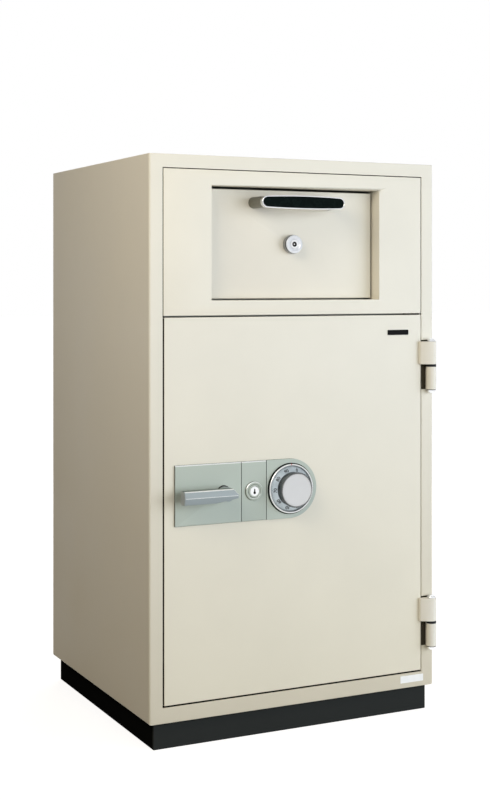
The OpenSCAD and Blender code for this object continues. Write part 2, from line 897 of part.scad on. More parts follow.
module dial_plate() {
    color(sage) place() difference() {
        slab_xz(-plate_t, 0) union() {
            translate([-seam_b + seam_w / 2, lock_z - plate_h / 2])
                square([seam_b - seam_w / 2 - dial_x, plate_h]);
            intersection() {
                translate([-dial_x, lock_z]) circle(r = plate_h / 2);
                translate([-dial_x - 1, lock_z - plate_h / 2]) square([plate_h, plate_h]);
            }
        }
        translate([-dial_x, 0, lock_z]) rod_along_y(dial_spindle_r + run, -plate_t - 1, 1);
    }
}

module dial_ring() {
    color("#d4d6d8") place() translate([-dial_x, 0, lock_z]) difference() {
        rod_along_y(ring_r, -plate_t - ring_h, -plate_t);
        rod_along_y(dial_r + 0.5, -plate_t - ring_h - cut, -plate_t + cut);
    }
}

module key_lock_housing() {
    front = -plate_t - rosette_h + 1;
    color("#b9bcc0") place() difference() {
        union() {
            translate([-key_x, 0, lock_z]) rod_along_y(key_barrel_r, front, khouse_back);
            // the box behind the pan plate, with the guide of the tongue on its top
            span([-key_x - khouse_hw, slab_t, lock_z - khouse_hw],
                 [-key_x + khouse_hw, khouse_back, lock_z + khouse_hw]);
            span([-key_x - khouse_hw, slab_t, lock_z + khouse_hw],
                 [-key_x + khouse_hw, bar_y + bar_t + 3, rail_z - 4]);
        }
        translate([-key_x, 0, lock_z]) rod_along_y(key_cyl_r + run, front - 1, kcyl_back);
        span([-key_x - ktongue_w / 2 - slide, kcyl_back - 1, lock_z + key_cyl_r + 1],
             [-key_x + ktongue_w / 2 + slide, bar_y + bar_t + 1, rail_z]);
    }
}

module lock_case() {
    w = case_wall;
    color("#a9a58f") place() translate([-dial_x, 0, lock_z]) {
        difference() {
            span([-case_left, case_y, -case_down], [case_right, case_back, case_up]);
            span([-case_left + w, case_y + w, -case_down + w],
                 [case_right - w, case_back + cut, case_up - w]);
            rod_along_y(dial_spindle_r + run, case_y - 1, case_y + w + 1);
            // the port of the lock tongue
            span([tongue_x + dial_x - tongue_w / 2 - slide, tongue_y - slide, case_up - w - 1],
                 [tongue_x + dial_x + tongue_w / 2 + slide, tongue_y + tongue_t + slide, case_up + 1]);
        }
        // the post that carries the wheels
        difference() {
            rod_along_y(post_r, case_y + w - eps, wheel_y + 3 * wheel_pitch);
            rod_along_y(dial_spindle_r + run, case_y, drive_y);
        }
    }
}

module lock_case_cover() {
    color("#a9a58f") place() translate([-dial_x, 0, lock_z])
        span([-case_left, case_back, -case_down], [case_right, case_back + 2, case_up]);
}

module bolt_guide_studs() {
    color("#b8b8b8") place() for (z = stud_zs) translate([-stud_x, 0, lock_z + z]) {
        rod_along_y(stud_r, slab_t, bar_y + bar_t + 1);
        rod_along_y(stud_head_r, slab_t, bar_y - slide);
        rod_along_y(stud_head_r, bar_y + bar_t + slide, bar_y + bar_t + 3);
    }
}

// Lever

module grip_outline() {
    polygon([
        [-lever_reach, -grip_h / 2],
        [-lever_reach, grip_h / 2],
        [grip_bevel_x, grip_h / 2],
        [grip_end_x, grip_h / 2 - grip_top_drop],
        [grip_end_x, -grip_h / 2 + grip_low_rise],
        [-grip_taper_x, -grip_h / 2]
    ]);
}

module lever_handle() {
    ridge = 1.6;
    back = -lever_proud + grip_t;
    color("#a3abb1") place() translate([-lever_x, 0, lock_z]) difference() {
        union() {
            intersection() {
                slab_xz(-lever_proud, back) grip_outline();
                slab_yz(-lever_reach - cut, grip_end_x + cut) polygon([
                    [-lever_proud, 0],
                    [-lever_proud + ridge, grip_h / 2],
                    [back, grip_h / 2],
                    [back, -grip_h / 2],
                    [-lever_proud + ridge, -grip_h / 2]
                ]);
            }
            rod_along_y(boss_r, back - cut, -plate_t - slide);
        }
        rod_along_y(spindle_r + seat, -lever_proud + spindle_nose, 0);
    }
}

module lever_spindle() {
    pin_a = lever_turn / 2;
    color("#b0b0b0") place() translate([-lever_x, 0, lock_z]) {
        rod_along_y(spindle_r, -lever_proud + spindle_nose, crank_y + crank_t);
        rotate([0, pin_a, 0]) {
            rod_along_y(spindle_r + 4, crank_y, crank_y + crank_t);
            span([-crank_hw, crank_y, 0], [crank_hw, crank_y + crank_t, crank_r]);
            translate([0, 0, crank_r]) rod_along_y(crank_hw, crank_y, crank_y + crank_t);
            translate([0, 0, crank_r]) rod_along_y(crank_pin_r, crank_y, bar_y + bar_t + 1);
        }
    }
}

// Bolt work

module bolt_bar() {
    x0 = -bar_left;
    edge = 9;
    x1 = -stud_x + bolt_travel + stud_r + edge - 3;
    z_end = bolt_pitch + 2 * bolt_r;
    pin_x = -lever_x + crank_r * sin(lever_turn / 2);
    pin_z0 = crank_r * cos(lever_turn / 2) - crank_pin_r - slide;
    pin_z1 = crank_r + crank_pin_r + slide;
    slot_hw = crank_pin_r + slide;
    rail_end = tongue_x + bolt_travel + notch_w;
    color("#9ea2a4") place() translate([0, 0, lock_z]) difference() {
        union() {
            // the upright, with the flange that holds the bolts
            span([x0, bar_y, -z_end], [x1, bar_y + bar_t, z_end]);
            span([x0, bar_y, -z_end], [x0 + flange_t, flange_back, z_end]);
            // the lock rail and the plate that the crank drives
            span([x0, bar_y, rail_up], [rail_end, bar_y + bar_t, rail_up + rail_h]);
            span([pin_x - slot_hw - edge, bar_y, pin_z0 - edge + 1],
                 [pin_x + slot_hw + edge, bar_y + bar_t, rail_up + 1]);
        }
        span([pin_x - slot_hw, bar_y - 1, pin_z0], [pin_x + slot_hw, bar_y + bar_t + 1, pin_z1]);
        for (z = stud_zs)
            span([-stud_x - stud_r - slide, bar_y - 1, z - stud_r - slide],
                 [-stud_x + bolt_travel + stud_r + slide, bar_y + bar_t + 1, z + stud_r + slide]);
        // one notch for each tongue with the bolts in, and one with the bolts out
        for (x = [-key_x, tongue_x], out = [0, 1])
            span([x + out * bolt_travel - notch_w / 2, bar_y - 1, rail_up - 1],
                 [x + out * bolt_travel + notch_w / 2, bar_y + bar_t + 1, rail_up + notch_d]);
        for (k = [-1, 0, 1])
            translate([0, bolt_y, k * bolt_pitch])
                rod_along_x(bolt_r / 2 + seat, x0 - cut, x0 + flange_t + cut);
    }
}

module live_bolts() {
    color("#c4c6c8") place() for (k = [-1, 0, 1]) translate([0, bolt_y, lock_z + k * bolt_pitch]) {
        rod_along_x(bolt_r, -bolt_tip, -bar_left);
        rod_along_x(bolt_r / 2, -bar_left - 1, -bar_left + flange_t + 1);
        rod_along_x(bolt_r * 0.75, -bar_left + flange_t, -bar_left + flange_t + 3);
    }
}

// Key lock

module key_cylinder() {
    front = -plate_t - rosette_h + 0.6;
    keyway_d = 22;
    color("#c9cbce") place() translate([-key_x, 0, lock_z]) {
        difference() {
            rod_along_y(key_cyl_r, front, kcyl_back - slide - 1);
            span([-keyway_w / 2, front - cut, -6], [keyway_w / 2, front + keyway_d, 3]);
        }
        translate([key_crank_r * cos(45), 0, -key_crank_r * sin(45)])
            rod_along_y(kpin_r, kcyl_back - 2, bar_y + bar_t);
    }
}

module key_tongue() {
    w = ktongue_w / 2;
    pin_x = key_crank_r * cos(45);
    pin_z = -key_crank_r * sin(45);
    slot_w = kpin_r + slide;
    yoke = 6;
    back = bar_y + bar_t - 1;
    color("#b5a468") place() translate([-key_x, 0, lock_z]) difference() {
        union() {
            span([-w, bar_y, -2 * yoke], [w, back, rail_up - 1]);
            span([-w, bar_y, pin_z - yoke], [pin_x + 1.5 * yoke, back, pin_z + yoke]);
        }
        span([pin_x - slot_w, bar_y - cut, pin_z - slot_w],
             [key_crank_r + slot_w, back + cut, pin_z + slot_w]);
    }
}

// Dial and wheels

module dial() {
    color("#b9bec2") place() translate([-dial_x, 0, lock_z]) rotate([90, 0, 0]) difference() {
        rotate_extrude() polygon([
            [0, dial_back],
            [dial_r, dial_back],
            [dial_r, dial_back + dial_edge],
            [knob_r + 1.5, dial_back + dial_h],
            [0, dial_back + dial_h]
        ]);
        translate([0, 0, dial_back - cut]) cylinder(r = dial_spindle_r + seat, h = dial_h + 2 * cut);
    }
}

module dial_knob() {
    back = dial_back + dial_h;
    color("#7c8084") place() translate([-dial_x, 0, lock_z]) rotate([90, 0, 0]) difference() {
        rotate_extrude() polygon([
            [0, back],
            [knob_r, back],
            [knob_r, knob_proud - knob_bevel],
            [knob_r - knob_bevel, knob_proud],
            [0, knob_proud]
        ]);
        translate([0, 0, back - cut]) cylinder(r = dial_spindle_r + seat, h = spindle_grip + cut);
    }
}

module dial_spindle() {
    color("#b0b0b0") place() translate([-dial_x, 0, lock_z])
        rod_along_y(dial_spindle_r, -dial_back - dial_h - spindle_grip + 0.5, drive_y + drive_t + 1);
}

module drive_cam() {
    color("#b5a468") place() translate([-dial_x, 0, lock_z]) difference() {
        rod_along_y(wheel_r, drive_y, drive_y + drive_t);
        rod_along_y(dial_spindle_r + seat, drive_y - cut, drive_y + drive_t + cut);
        span([-gate_w / 2, drive_y - cut, wheel_r - gate_d],
             [gate_w / 2, drive_y + drive_t + cut, wheel_r + cut]);
    }
}

// One wheel, turned to its own place in the combination
module wheel(n) {
    y0 = wheel_y + n * wheel_pitch;
    color("#b5a468") place() translate([-dial_x, 0, lock_z]) rotate([0, wheel_turns[n], 0]) {
        difference() {
            rod_along_y(wheel_r, y0, y0 + wheel_t);
            rod_along_y(post_r + run, y0 - 1, y0 + wheel_t + 1);
            span([-gate_w / 2, y0 - cut, wheel_r - gate_d],
                 [gate_w / 2, y0 + wheel_t + cut, wheel_r + cut]);
        }
        // the fly that picks up the next wheel
        translate([0, 0, -wheel_r + 4 * fly_r])
            rod_along_y(fly_r, y0 + wheel_t - cut, y0 + wheel_pitch - slide);
    }
}

module wheel_1() {
    wheel(0);
}

module wheel_2() {
    wheel(1);
}

module wheel_3() {
    wheel(2);
}

module lock_tongue() {
    color("#b5a468") place() span([tongue_x - tongue_w / 2, tongue_y, lock_z - fence_h],
                                  [tongue_x + tongue_w / 2, tongue_y + tongue_t, rail_z - 1]);
}

module fence_lever() {
    reach_x = wheel_r + 1.5;
    tongue_side = tongue_x + dial_x - tongue_w / 2;
    color("#9ea2a4") place() translate([-dial_x, 0, lock_z - fence_h + 2]) {
        span([reach_x, tongue_y, 0], [tongue_side, tongue_y + tongue_t, fence_h]);
        span([reach_x, wheel_y, 0], [reach_x + 3, drive_y + drive_t, fence_h]);
    }
}

// Hopper, at rest closed

module hopper_plate() {
    fold_y = hplate_back + hopper_fold;
    z_start = pivot_z + 2.5 * lug_r;
    color(ivory) place() difference() {
        union() {
            wide(hplate_hw, hopper_recess, hplate_back, hplate_z0, hplate_z1);
            wide(hplate_hw, hplate_back - eps, fold_y, hplate_z1 - hopper_plate_t, hplate_z1);
            mirror_pair() span([bin_hw, hplate_back - eps, z_start], [hplate_hw, fold_y, hplate_z1]);
        }
        translate([0, 0, hlock_z])
            rod_along_y(collar_neck_r + seat, hopper_recess - cut, hplate_back + cut);
        rod_ports(bin_hw - 1, hplate_hw + 1);
    }
}

module hopper_bin() {
    side_reach = 1.2 * bin_r;
    side_drop = bin_drop / cos(chute_a);
    color("#d8d6cf") place() difference() {
        union() {
            // the two sides, each a sector between the plate and the bin floor
            mirror_pair() translate([0, pivot_y, pivot_z]) slab_yz(bin_hw - bin_sheet, bin_hw) {
                intersection() {
                    circle(r = bin_r);
                    polygon([
                        [hplate_back - pivot_y, -4],
                        [hplate_back - pivot_y, bin_r + 1],
                        [bin_r + 1, bin_r + 1],
                        [side_reach * cos(chute_a), -side_reach * sin(chute_a) - side_drop],
                        [0, -side_drop]
                    ]);
                }
                circle(r = lug_r);
            }
            // the bin floor and the web that ties it to the plate
            translate([0, pivot_y, pivot_z]) rotate([-chute_a, 0, 0])
                wide(bin_hw, -pivot_back + 1, bin_r - 1, -bin_drop, -bin_drop + bin_sheet);
            wide(bin_hw, hplate_back, hplate_back + bin_sheet, pivot_z - 4, pivot_z + 5 * lug_r);
        }
        translate([0, pivot_y, pivot_z]) rod_along_x(pivot_r + run, -hplate_hw, hplate_hw);
        wide(hplate_hw, 0, hplate_back, win_z0, hplate_z1);
        rod_ports(bin_hw - bin_sheet - 1, bin_hw + 1);
    }
}

// Outline of the pull, a long lens with round ends
module pull_outline(inset) {
    end = pull_end_h / 2 - inset;
    half = pull_w / 2 - inset - end;
    swell = (pull_h - pull_end_h) / 2;
    arc_r = (half * half + swell * swell) / (2 * swell);
    intersection() {
        translate([-half, -end - swell]) square(2 * [half, end + swell]);
        translate([0, end + swell - arc_r]) circle(r = arc_r, $fn = arc_fn);
        translate([0, arc_r - end - swell]) circle(r = arc_r, $fn = arc_fn);
    }
    for (side = [-1, 1]) translate([side * half, 0]) circle(r = end);
}

// The bowed front of the pull, set back by the given depth
module pull_bow_body(depth) {
    hw = pull_w / 2;
    bow_r = (hw * hw + pull_bow * pull_bow) / (2 * pull_bow);
    translate([0, hopper_recess - pull_proud + depth + bow_r, pull_z - pull_h])
        cylinder(r = bow_r, h = 2 * pull_h, $fn = arc_fn);
}

module pull_frame() {
    front = hopper_recess - pull_proud;
    color("#c9cbce") place() {
        difference() {
            intersection() {
                slab_xz(front - 1, front + pull_bow + pull_bar_t) translate([0, pull_z]) pull_outline(0);
                pull_bow_body(0);
            }
            difference() {
                slab_xz(front - 2, front + pull_bow + pull_bar_t - 1)
                    translate([0, pull_z]) pull_outline(pull_rim);
                pull_bow_body(pull_pocket);
            }
        }
        mirror_pair() intersection() {
            slab_xz(front + pull_bow + pull_bar_t - 1, hopper_recess)
                translate([0, pull_z]) pull_outline(1);
            span([pull_w / 2 - pull_leg_t, front, pull_z - pull_h],
                 [pull_w / 2, hopper_recess, pull_z + pull_h]);
        }
    }
}

module pull_insert() {
    front = hopper_recess - pull_proud;
    color("#15191a") place() difference() {
        intersection() {
            slab_xz(front - 1, front + pull_bow + pull_bar_t - 1)
                translate([0, pull_z]) pull_outline(pull_rim);
            pull_bow_body(0.5);
        }
        pull_bow_body(pull_pocket);
    }
}

module hopper_lock_collar() {
    color("#c9cbce") place() translate([0, 0, hlock_z]) difference() {
        union() {
            rod_along_y(collar_r, hopper_recess - collar_h, hopper_recess);
            rod_along_y(collar_neck_r, hopper_recess - 1, hplate_back + 3);
        }
        rod_along_y(hcyl_r + run, hopper_recess - collar_h - cut, hcam_y);
    }
}

module hopper_lock_cover() {
    edge = rod_h + bin_sheet + 1;
    color("#b9bab6") place() difference() {
        wide(bin_hw - bin_sheet, hplate_back, cover_y + bin_sheet, hlock_z - edge, hlock_z + edge);
        wide(bin_hw, hplate_back - 1, cover_y, hlock_z - edge + bin_sheet, hlock_z + edge - bin_sheet);
    }
}

module hopper_cylinder() {
    front = hopper_recess - collar_h + 0.8;
    color("#c9cbce") place() translate([0, 0, hlock_z]) {
        difference() {
            rod_along_y(hcyl_r, front, hcam_y);
            span([-keyway_w / 2, front - cut, -5.5], [keyway_w / 2, hplate_back, 3]);
        }
        rod_along_y(hcam_r + hpin_r + 1.5, hcam_y, hcam_y + hcam_t);
        rotate([0, -45, 0]) for (up = [-1, 1])
            translate([0, 0, up * hcam_r]) rod_along_y(hpin_r, hcam_y, rod_y + rod_t + 1);
    }
}

// A rod on the right of the lock, which the upper pin drives
module lock_rod() {
    pin_x = -hcam_r * sin(45);
    pin_z0 = hcam_r * cos(45) - hpin_r - slide;
    slot_hw = hpin_r + slide;
    split = 0.5;
    difference() {
        span([pin_x - slot_hw - 4, rod_y, split], [rod_end, rod_y + rod_t, rod_h + split]);
        span([pin_x - slot_hw, rod_y - 1, pin_z0], [pin_x + slot_hw, rod_y + rod_t + 1, hcam_r + slot_hw]);
    }
}

module right_rod() {
    color("#b0b0b0") place() translate([0, 0, hlock_z]) lock_rod();
}

module left_rod() {
    color("#b0b0b0") place() translate([0, 0, hlock_z]) rotate([0, 180, 0]) lock_rod();
}

outer_shell();
top_plate();
back_plate();
plinth();
side_insulation();
roof_insulation();
floor_insulation();
back_insulation();
inner_liner();
front_frame();
lintel();
top_panel();
panel_insulation();
hopper_housing();
baffle();
hopper_pivot_pins();
frame_hinge_knuckles();
hinge_pins();
hinge_washers();
door_skin();
door_insulation();
door_pan();
door_back_panel();
door_back_screws();
door_seal();
door_hinge_knuckles();
hinge_caps();
fixed_bolts();
lever_plate();
key_plate();
dial_plate();
dial_ring();
key_lock_housing();
lock_case();
lock_case_cover();
bolt_guide_studs();
lever_handle();
lever_spindle();
bolt_bar();
live_bolts();
key_cylinder();
key_tongue();
dial();
dial_knob();
dial_spindle();
drive_cam();
wheel_1();
wheel_2();
wheel_3();
lock_tongue();
fence_lever();
hopper_plate();
hopper_bin();
pull_frame();
pull_insert();
hopper_lock_collar();
hopper_lock_cover();
hopper_cylinder();
left_rod();
right_rod();
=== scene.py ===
"""The looks of a fireproof drop safe: rounded sheet edges, fine lock pieces, finishes and the studio."""

import json
import math

import bmesh
import bpy
from bpy.props import FloatProperty, FloatVectorProperty, IntProperty, PointerProperty
from mathutils import Matrix, Vector

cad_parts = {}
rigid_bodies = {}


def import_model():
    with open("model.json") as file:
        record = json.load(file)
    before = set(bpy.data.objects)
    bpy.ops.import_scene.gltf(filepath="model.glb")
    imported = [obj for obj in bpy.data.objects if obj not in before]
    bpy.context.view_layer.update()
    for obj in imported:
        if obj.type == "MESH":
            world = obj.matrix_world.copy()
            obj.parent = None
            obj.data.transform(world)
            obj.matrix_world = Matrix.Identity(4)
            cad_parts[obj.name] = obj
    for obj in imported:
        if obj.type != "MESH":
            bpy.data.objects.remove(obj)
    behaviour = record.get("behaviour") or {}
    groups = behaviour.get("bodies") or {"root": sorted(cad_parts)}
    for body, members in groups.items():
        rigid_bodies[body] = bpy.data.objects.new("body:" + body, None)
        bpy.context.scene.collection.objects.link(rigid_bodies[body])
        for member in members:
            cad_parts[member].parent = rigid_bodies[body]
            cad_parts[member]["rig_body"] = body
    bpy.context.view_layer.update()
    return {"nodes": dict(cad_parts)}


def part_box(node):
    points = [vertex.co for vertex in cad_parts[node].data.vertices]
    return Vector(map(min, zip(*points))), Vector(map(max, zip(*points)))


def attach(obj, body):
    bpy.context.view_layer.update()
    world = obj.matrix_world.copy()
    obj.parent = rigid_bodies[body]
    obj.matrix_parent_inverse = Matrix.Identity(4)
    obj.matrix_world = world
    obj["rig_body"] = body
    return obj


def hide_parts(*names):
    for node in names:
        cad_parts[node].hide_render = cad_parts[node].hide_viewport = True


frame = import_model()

bl_info = {
    "name": "Drop safe looks",
    "version": (1, 0, 0),
    "blender": (4, 5, 0),
    "location": "3D View > Sidebar > Drop safe",
    "description": "Builds the visible pieces, finishes and studio of a fireproof drop safe",
    "category": "Object",
}

# What the frame gives
slot_of = {name: node.material_slots[0].material.name for name, node in frame["nodes"].items()}
MM = 0.001
TINY = 0.05 * MM

# Edges that meet at more than SHARP are edges of the real piece, and are rounded. Only faces that meet
# at less than SMOOTH are shaded as one, so that a flat sheet stays flat up to its rounded edges. Faces
# that meet at less than FLAT become one face.
SHARP = math.radians(30)
SMOOTH = math.radians(14)
FLAT = math.radians(0.5)

# Steps of a full turn, for large, small and tiny round pieces
SPIN_STEPS = 96
SMALL_STEPS = 48
TINY_STEPS = 24


def middle(node):
    """The middle of a CAD node's box."""
    low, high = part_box(node)
    return (low + high) / 2


def front_axis(node):
    """Where the axis along Y through the middle of a CAD node starts, at Y = 0."""
    at = middle(node)
    return Vector((at.x, 0, at.z))


def reach(node, axis):
    """Half of the length of a CAD node's box along an axis, 0 to 2."""
    low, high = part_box(node)
    return (high[axis] - low[axis]) / 2


# Sizes and colours that a user would change

def linear(code):
    """The linear colour of an sRGB hex code."""
    parts = [int(code[i:i + 2], 16) / 255 for i in (1, 3, 5)]
    return tuple(c / 12.92 if c <= 0.04045 else ((c + 0.055) / 1.055) ** 2.4 for c in parts)


def colour_of(name, description, code):
    """A colour property with the colour of an sRGB hex code as its default."""
    return FloatVectorProperty(name=name, description=description, subtype="COLOR", size=3, min=0, max=1,
                               default=linear(code))


def power_of(name, description, watts):
    """The power of a lamp as a property."""
    return FloatProperty(name=name, description=description, subtype="POWER", default=watts)


def tint_of(name, description, tint):
    """The tint of a lamp as a property, already linear."""
    return FloatVectorProperty(name=name, description=description, subtype="COLOR", size=3, default=tint)


def length_of(name, description, millimetres):
    """A length property with its default given in millimetres."""
    return FloatProperty(name=name, description=description, subtype="DISTANCE", unit="LENGTH", min=0,
                         default=millimetres * MM, precision=4)


class SafeColours(bpy.types.PropertyGroup):
    """Colours of the safe's paints and plastics."""
    ivory: colour_of("Body ivory", "Enamel of the body, door and panels", "#e3dfd2")
    plinth: colour_of("Plinth black", "Enamel of the plinth", "#2f3130")
    sage: colour_of("Lock plate sage", "Enamel of the three lock plates", "#b1bab0")
    lever: colour_of("Lever blue grey", "Enamel of the lever", "#98a2a5")
    hinge: colour_of("Hinge ivory", "Enamel of the hinges", "#e6e1d4")
    liner: colour_of("Liner grey", "Enamel of the inside", "#cfcdc4")
    insert: colour_of("Pull insert", "Plastic insert of the hopper pull", "#060f0e")
    index: colour_of("Index red", "Index mark over the dial", "#b4392f")


class SafeSizes(bpy.types.PropertyGroup):
    """Sizes of the fine pieces."""
    sheet_edge: length_of("Sheet edge", "Radius of the edges of the steel sheets", 1.2)
    plate_edge: length_of("Plate edge", "Radius of the outer edges of the lock plates", 2.2)
    lever_edge: length_of("Lever edge", "Radius of the edges of the lever", 1.9)
    rosette_edge: length_of("Rosette edge", "Radius of the rim of the key rosette", 2.2)
    hinge_edge: length_of("Hinge edge", "Radius of the edges of the hinge knuckles", 0.8)
    pull_rim: length_of("Pull rim", "Width of the bright rim of the hopper pull", 2.4)
    badge_w: length_of("Badge width", "Width of the bare badge on the door", 46.7)
    badge_h: length_of("Badge height", "Height of the bare badge on the door", 9.9)
    label_w: length_of("Label width", "Width of the bare label under the door", 51.8)
    label_h: length_of("Label height", "Height of the bare label under the door", 13.6)
    numeral_h: length_of("Numeral height", "Height of the numbers on the dial", 6.2)
    marks: IntProperty(name="Graduations", description="Number of graduations round the dial",
                       default=100, min=10, max=120)
    flutes: IntProperty(name="Flutes", description="Number of flutes round the dial knob",
                        default=44, min=12, max=90)


class SafeStudio(bpy.types.PropertyGroup):
    """The camera and the lamps."""
    focal_px: FloatProperty(name="Focal length", description="Focal length in pixels of the photograph",
                            default=1418)
    horizon_px: FloatProperty(name="Horizon", description="Height of the horizon in pixels from the top",
                              default=282.6)
    camera_yaw: FloatProperty(name="Camera yaw", description="Turn of the level camera towards the right",
                              subtype="ANGLE", default=math.radians(26.21))
    camera_place: FloatVectorProperty(name="Camera place", description="Place of the camera", size=3,
                                      subtype="TRANSLATION", default=(-1.2579, -2.5754, 0.8347))
    front_power: power_of("Front lamp", "Power of the wide lamp in front", 53)
    side_power: power_of("Side lamp", "Power of the near lamp at the left", 14.9)
    right_power: power_of("Right lamp", "Power of the wide lamp at the right", 83)
    back_power: power_of("Back lamp", "Power of the lamp behind", 60)
    front_tint: tint_of("Front lamp tint", "Tint of the lamp in front", (0.926, 0.983, 1.0))
    side_tint: tint_of("Side lamp tint", "Warm tint of the lamp at the left", (1.0, 0.887, 0.718))
    right_tint: tint_of("Right lamp tint", "Cool tint of the lamp at the right", (0.808, 0.872, 1.0))
    ambient: FloatProperty(name="Ambient", description="Strength of the even light all round", default=0.1)


# Materials

def add(tree, kind, values=(), links=(), **settings):
    """Adds one shader node: its settings, the values of its sockets and its links from other nodes."""
    made = tree.nodes.new(kind)
    for name, value in settings.items():
        setattr(made, name, value)
    for socket, value in dict(values).items():
        made.inputs[socket].default_value = value
    for socket, (source, output) in dict(links).items():
        tree.links.new(source.outputs[output], made.inputs[socket])
    return made


def per_mm(spacing):
    """The scale of a texture whose features are that many millimetres apart."""
    return 1 / (spacing * MM)


def shade(colour, factor):
    """A colour made lighter or darker, with the alpha that a socket wants."""
    return (*(min(1, c * factor) for c in colour), 1)


def surface(name, metallic=0, ior=1.5, level=0.5):
    """A new material with its shader, and the link to its Object coordinates that a pattern takes."""
    made = bpy.data.materials.new(name)
    made.use_nodes = True
    tree = made.node_tree
    tree.nodes.clear()
    skin = add(tree, "ShaderNodeBsdfPrincipled",
               {"Metallic": metallic, "IOR": ior, "Specular IOR Level": level})
    add(tree, "ShaderNodeOutputMaterial", links={"Surface": (skin, "BSDF")})
    return made, tree, skin, {"Vector": (add(tree, "ShaderNodeTexCoord"), "Object")}


def tint(tree, skin, colour, pattern, output, low, high):
    """Colours the skin between a darker and a lighter shade as a pattern goes from 0.3 to 0.7."""
    spread = add(tree, "ShaderNodeMapRange", {"From Min": 0.3, "From Max": 0.7},
                 {"Value": (pattern, output)})
    mix = add(tree, "ShaderNodeMix", {"A": shade(colour, low), "B": shade(colour, high)},
              {"Factor": (spread, "Result")}, data_type="RGBA")
    tree.links.new(mix.outputs["Result"], skin.inputs["Base Color"])


def fade(tree, skin, at, axis, start, full, tone):
    """Tones the colour at one level of an axis, less and less up to another level, both in metres. Every use
    is painted shade.
    """
    place = add(tree, "ShaderNodeSeparateXYZ", links=at)
    share = add(tree, "ShaderNodeMapRange", {"From Min": start, "From Max": full}, {"Value": (place, axis)})
    blend = add(tree, "ShaderNodeMix", {"A": (*tone, 1), "B": (1, 1, 1, 1)},
                {"Factor": (share, "Result")}, data_type="RGBA")
    toned = add(tree, "ShaderNodeMix", {"Factor": 1.0}, {"B": (blend, "Result")}, data_type="RGBA",
                blend_type="MULTIPLY")
    tree.links.new(skin.inputs["Base Color"].links[0].from_socket, toned.inputs["A"])
    tree.links.new(toned.outputs["Result"], skin.inputs["Base Color"])


def relief(tree, skin, pattern, output, height, strength=1.0):
    """Raises the skin by a pattern, up to a height in millimetres."""
    bump = add(tree, "ShaderNodeBump", {"Strength": strength, "Distance": height * MM},
               {"Height": (pattern, output)})
    tree.links.new(bump.outputs["Normal"], skin.inputs["Normal"])


def gloss(tree, skin, pattern, output, low, high):
    """Spreads the roughness between two values by a pattern."""
    spread = add(tree, "ShaderNodeMapRange",
                 {"From Min": 0.3, "From Max": 0.7, "To Min": low, "To Max": high},
                 {"Value": (pattern, output)})
    tree.links.new(spread.outputs["Result"], skin.inputs["Roughness"])


def baked_enamel(name, colour, rough, peel=5.0, level=0.4, fading=None):
    """Sprayed and baked enamel: a fine orange peel, a little cloudiness in the colour and the gloss.
    The real peel is about 1 mm wide. It is drawn coarser so that it shows in the render. A fading is the
    axis, the two levels and the tone that fade takes."""
    made, tree, skin, at = surface(name, level=level)
    orange_peel = add(tree, "ShaderNodeTexNoise", {"Scale": per_mm(peel), "Detail": 2}, at)
    clouds = add(tree, "ShaderNodeTexNoise", {"Scale": per_mm(160), "Detail": 3}, at)
    tint(tree, skin, colour, clouds, "Fac", 0.975, 1.02)
    if fading:
        fade(tree, skin, at, *fading)
    gloss(tree, skin, clouds, "Fac", rough - 0.05, rough + 0.05)
    relief(tree, skin, orange_peel, "Fac", 0.12, 0.35)
    return made


def ivory_enamel():
    """Satin ivory enamel on the door and panels: pale and even with a soft sheen. It is a little darker and
    warmer towards the floor, which is painted shade."""
    return baked_enamel("ivory_enamel", scene_colours().ivory, 0.5, level=0.3,
                        fading=("Z", 0.0, 0.7, (0.95, 0.92, 0.84)))


def window_enamel():
    """The ivory enamel inside the window: dulled by dust and by the cases that slide past it, and a little
    darker towards its left, which is painted shade of the recess.
    """
    return baked_enamel("window_enamel", scene_colours().ivory, 0.55, level=0.25,
                        fading=("X", -0.1, 0.25, (0.93, 0.92, 0.92)))


def body_enamel():
    """The same enamel on the outer sheets, which are handled and scuffed more, so it is duller. It is darker
    and warmer towards the floor, which is painted shade."""
    return baked_enamel("body_enamel", scene_colours().ivory, 0.55, level=0.25,
                        fading=("Z", 0.0, 0.75, (0.80, 0.76, 0.68)))


def painted_gap_shade():
    """Black on the edges of the sheets, in the gaps round the door and panels and in the keyholes: painted
    shade, which keeps the gaps and keyholes dark."""
    return baked_enamel("painted_gap_shade", linear("#100d09"), 0.7, level=0.06)


def painted_notch_shade():
    """Brown-black on the pads beside the hinges: painted shade of the notches behind them, lighter than in
    the gaps, so that some brown shows.
    """
    return baked_enamel("painted_notch_shade", linear("#332e23"), 0.6, level=0.15)


def plinth_enamel():
    """Matt black enamel on the plinth: dull grey on its front face, and much darker behind it, which is
    painted shade on its sides."""
    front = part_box("plinth")[0].y
    dark_from, grey_from = front + 6 * MM, front + 2 * MM
    return baked_enamel("plinth_enamel", scene_colours().plinth, 0.65, level=0.0,
                        fading=("Y", dark_from, grey_from, (0.22, 0.22, 0.22)))


def liner_enamel():
    """Satin grey enamel inside: a little duller than the outside, as inner surfaces get one coat."""
    return baked_enamel("liner_enamel", scene_colours().liner, 0.5)


def hinge_enamel():
    """Ivory grey enamel on turned steel: thin and dull, since it rubs against the door."""
    return baked_enamel("hinge_enamel", scene_colours().hinge, 0.6, peel=3.0, level=0.2)


def sage_enamel():
    """Satin sage enamel on the lock plates: fine grain and clear highlights on the edges."""
    return baked_enamel("sage_enamel", scene_colours().sage, 0.38, peel=2.5)


def painted_side_shade():
    """Dark green-grey on the sides of the lock plates: painted shade on their sides and in the seams between
    them.
    """
    return baked_enamel("painted_side_shade", linear("#39443d"), 0.6, peel=2.5, level=0.2)


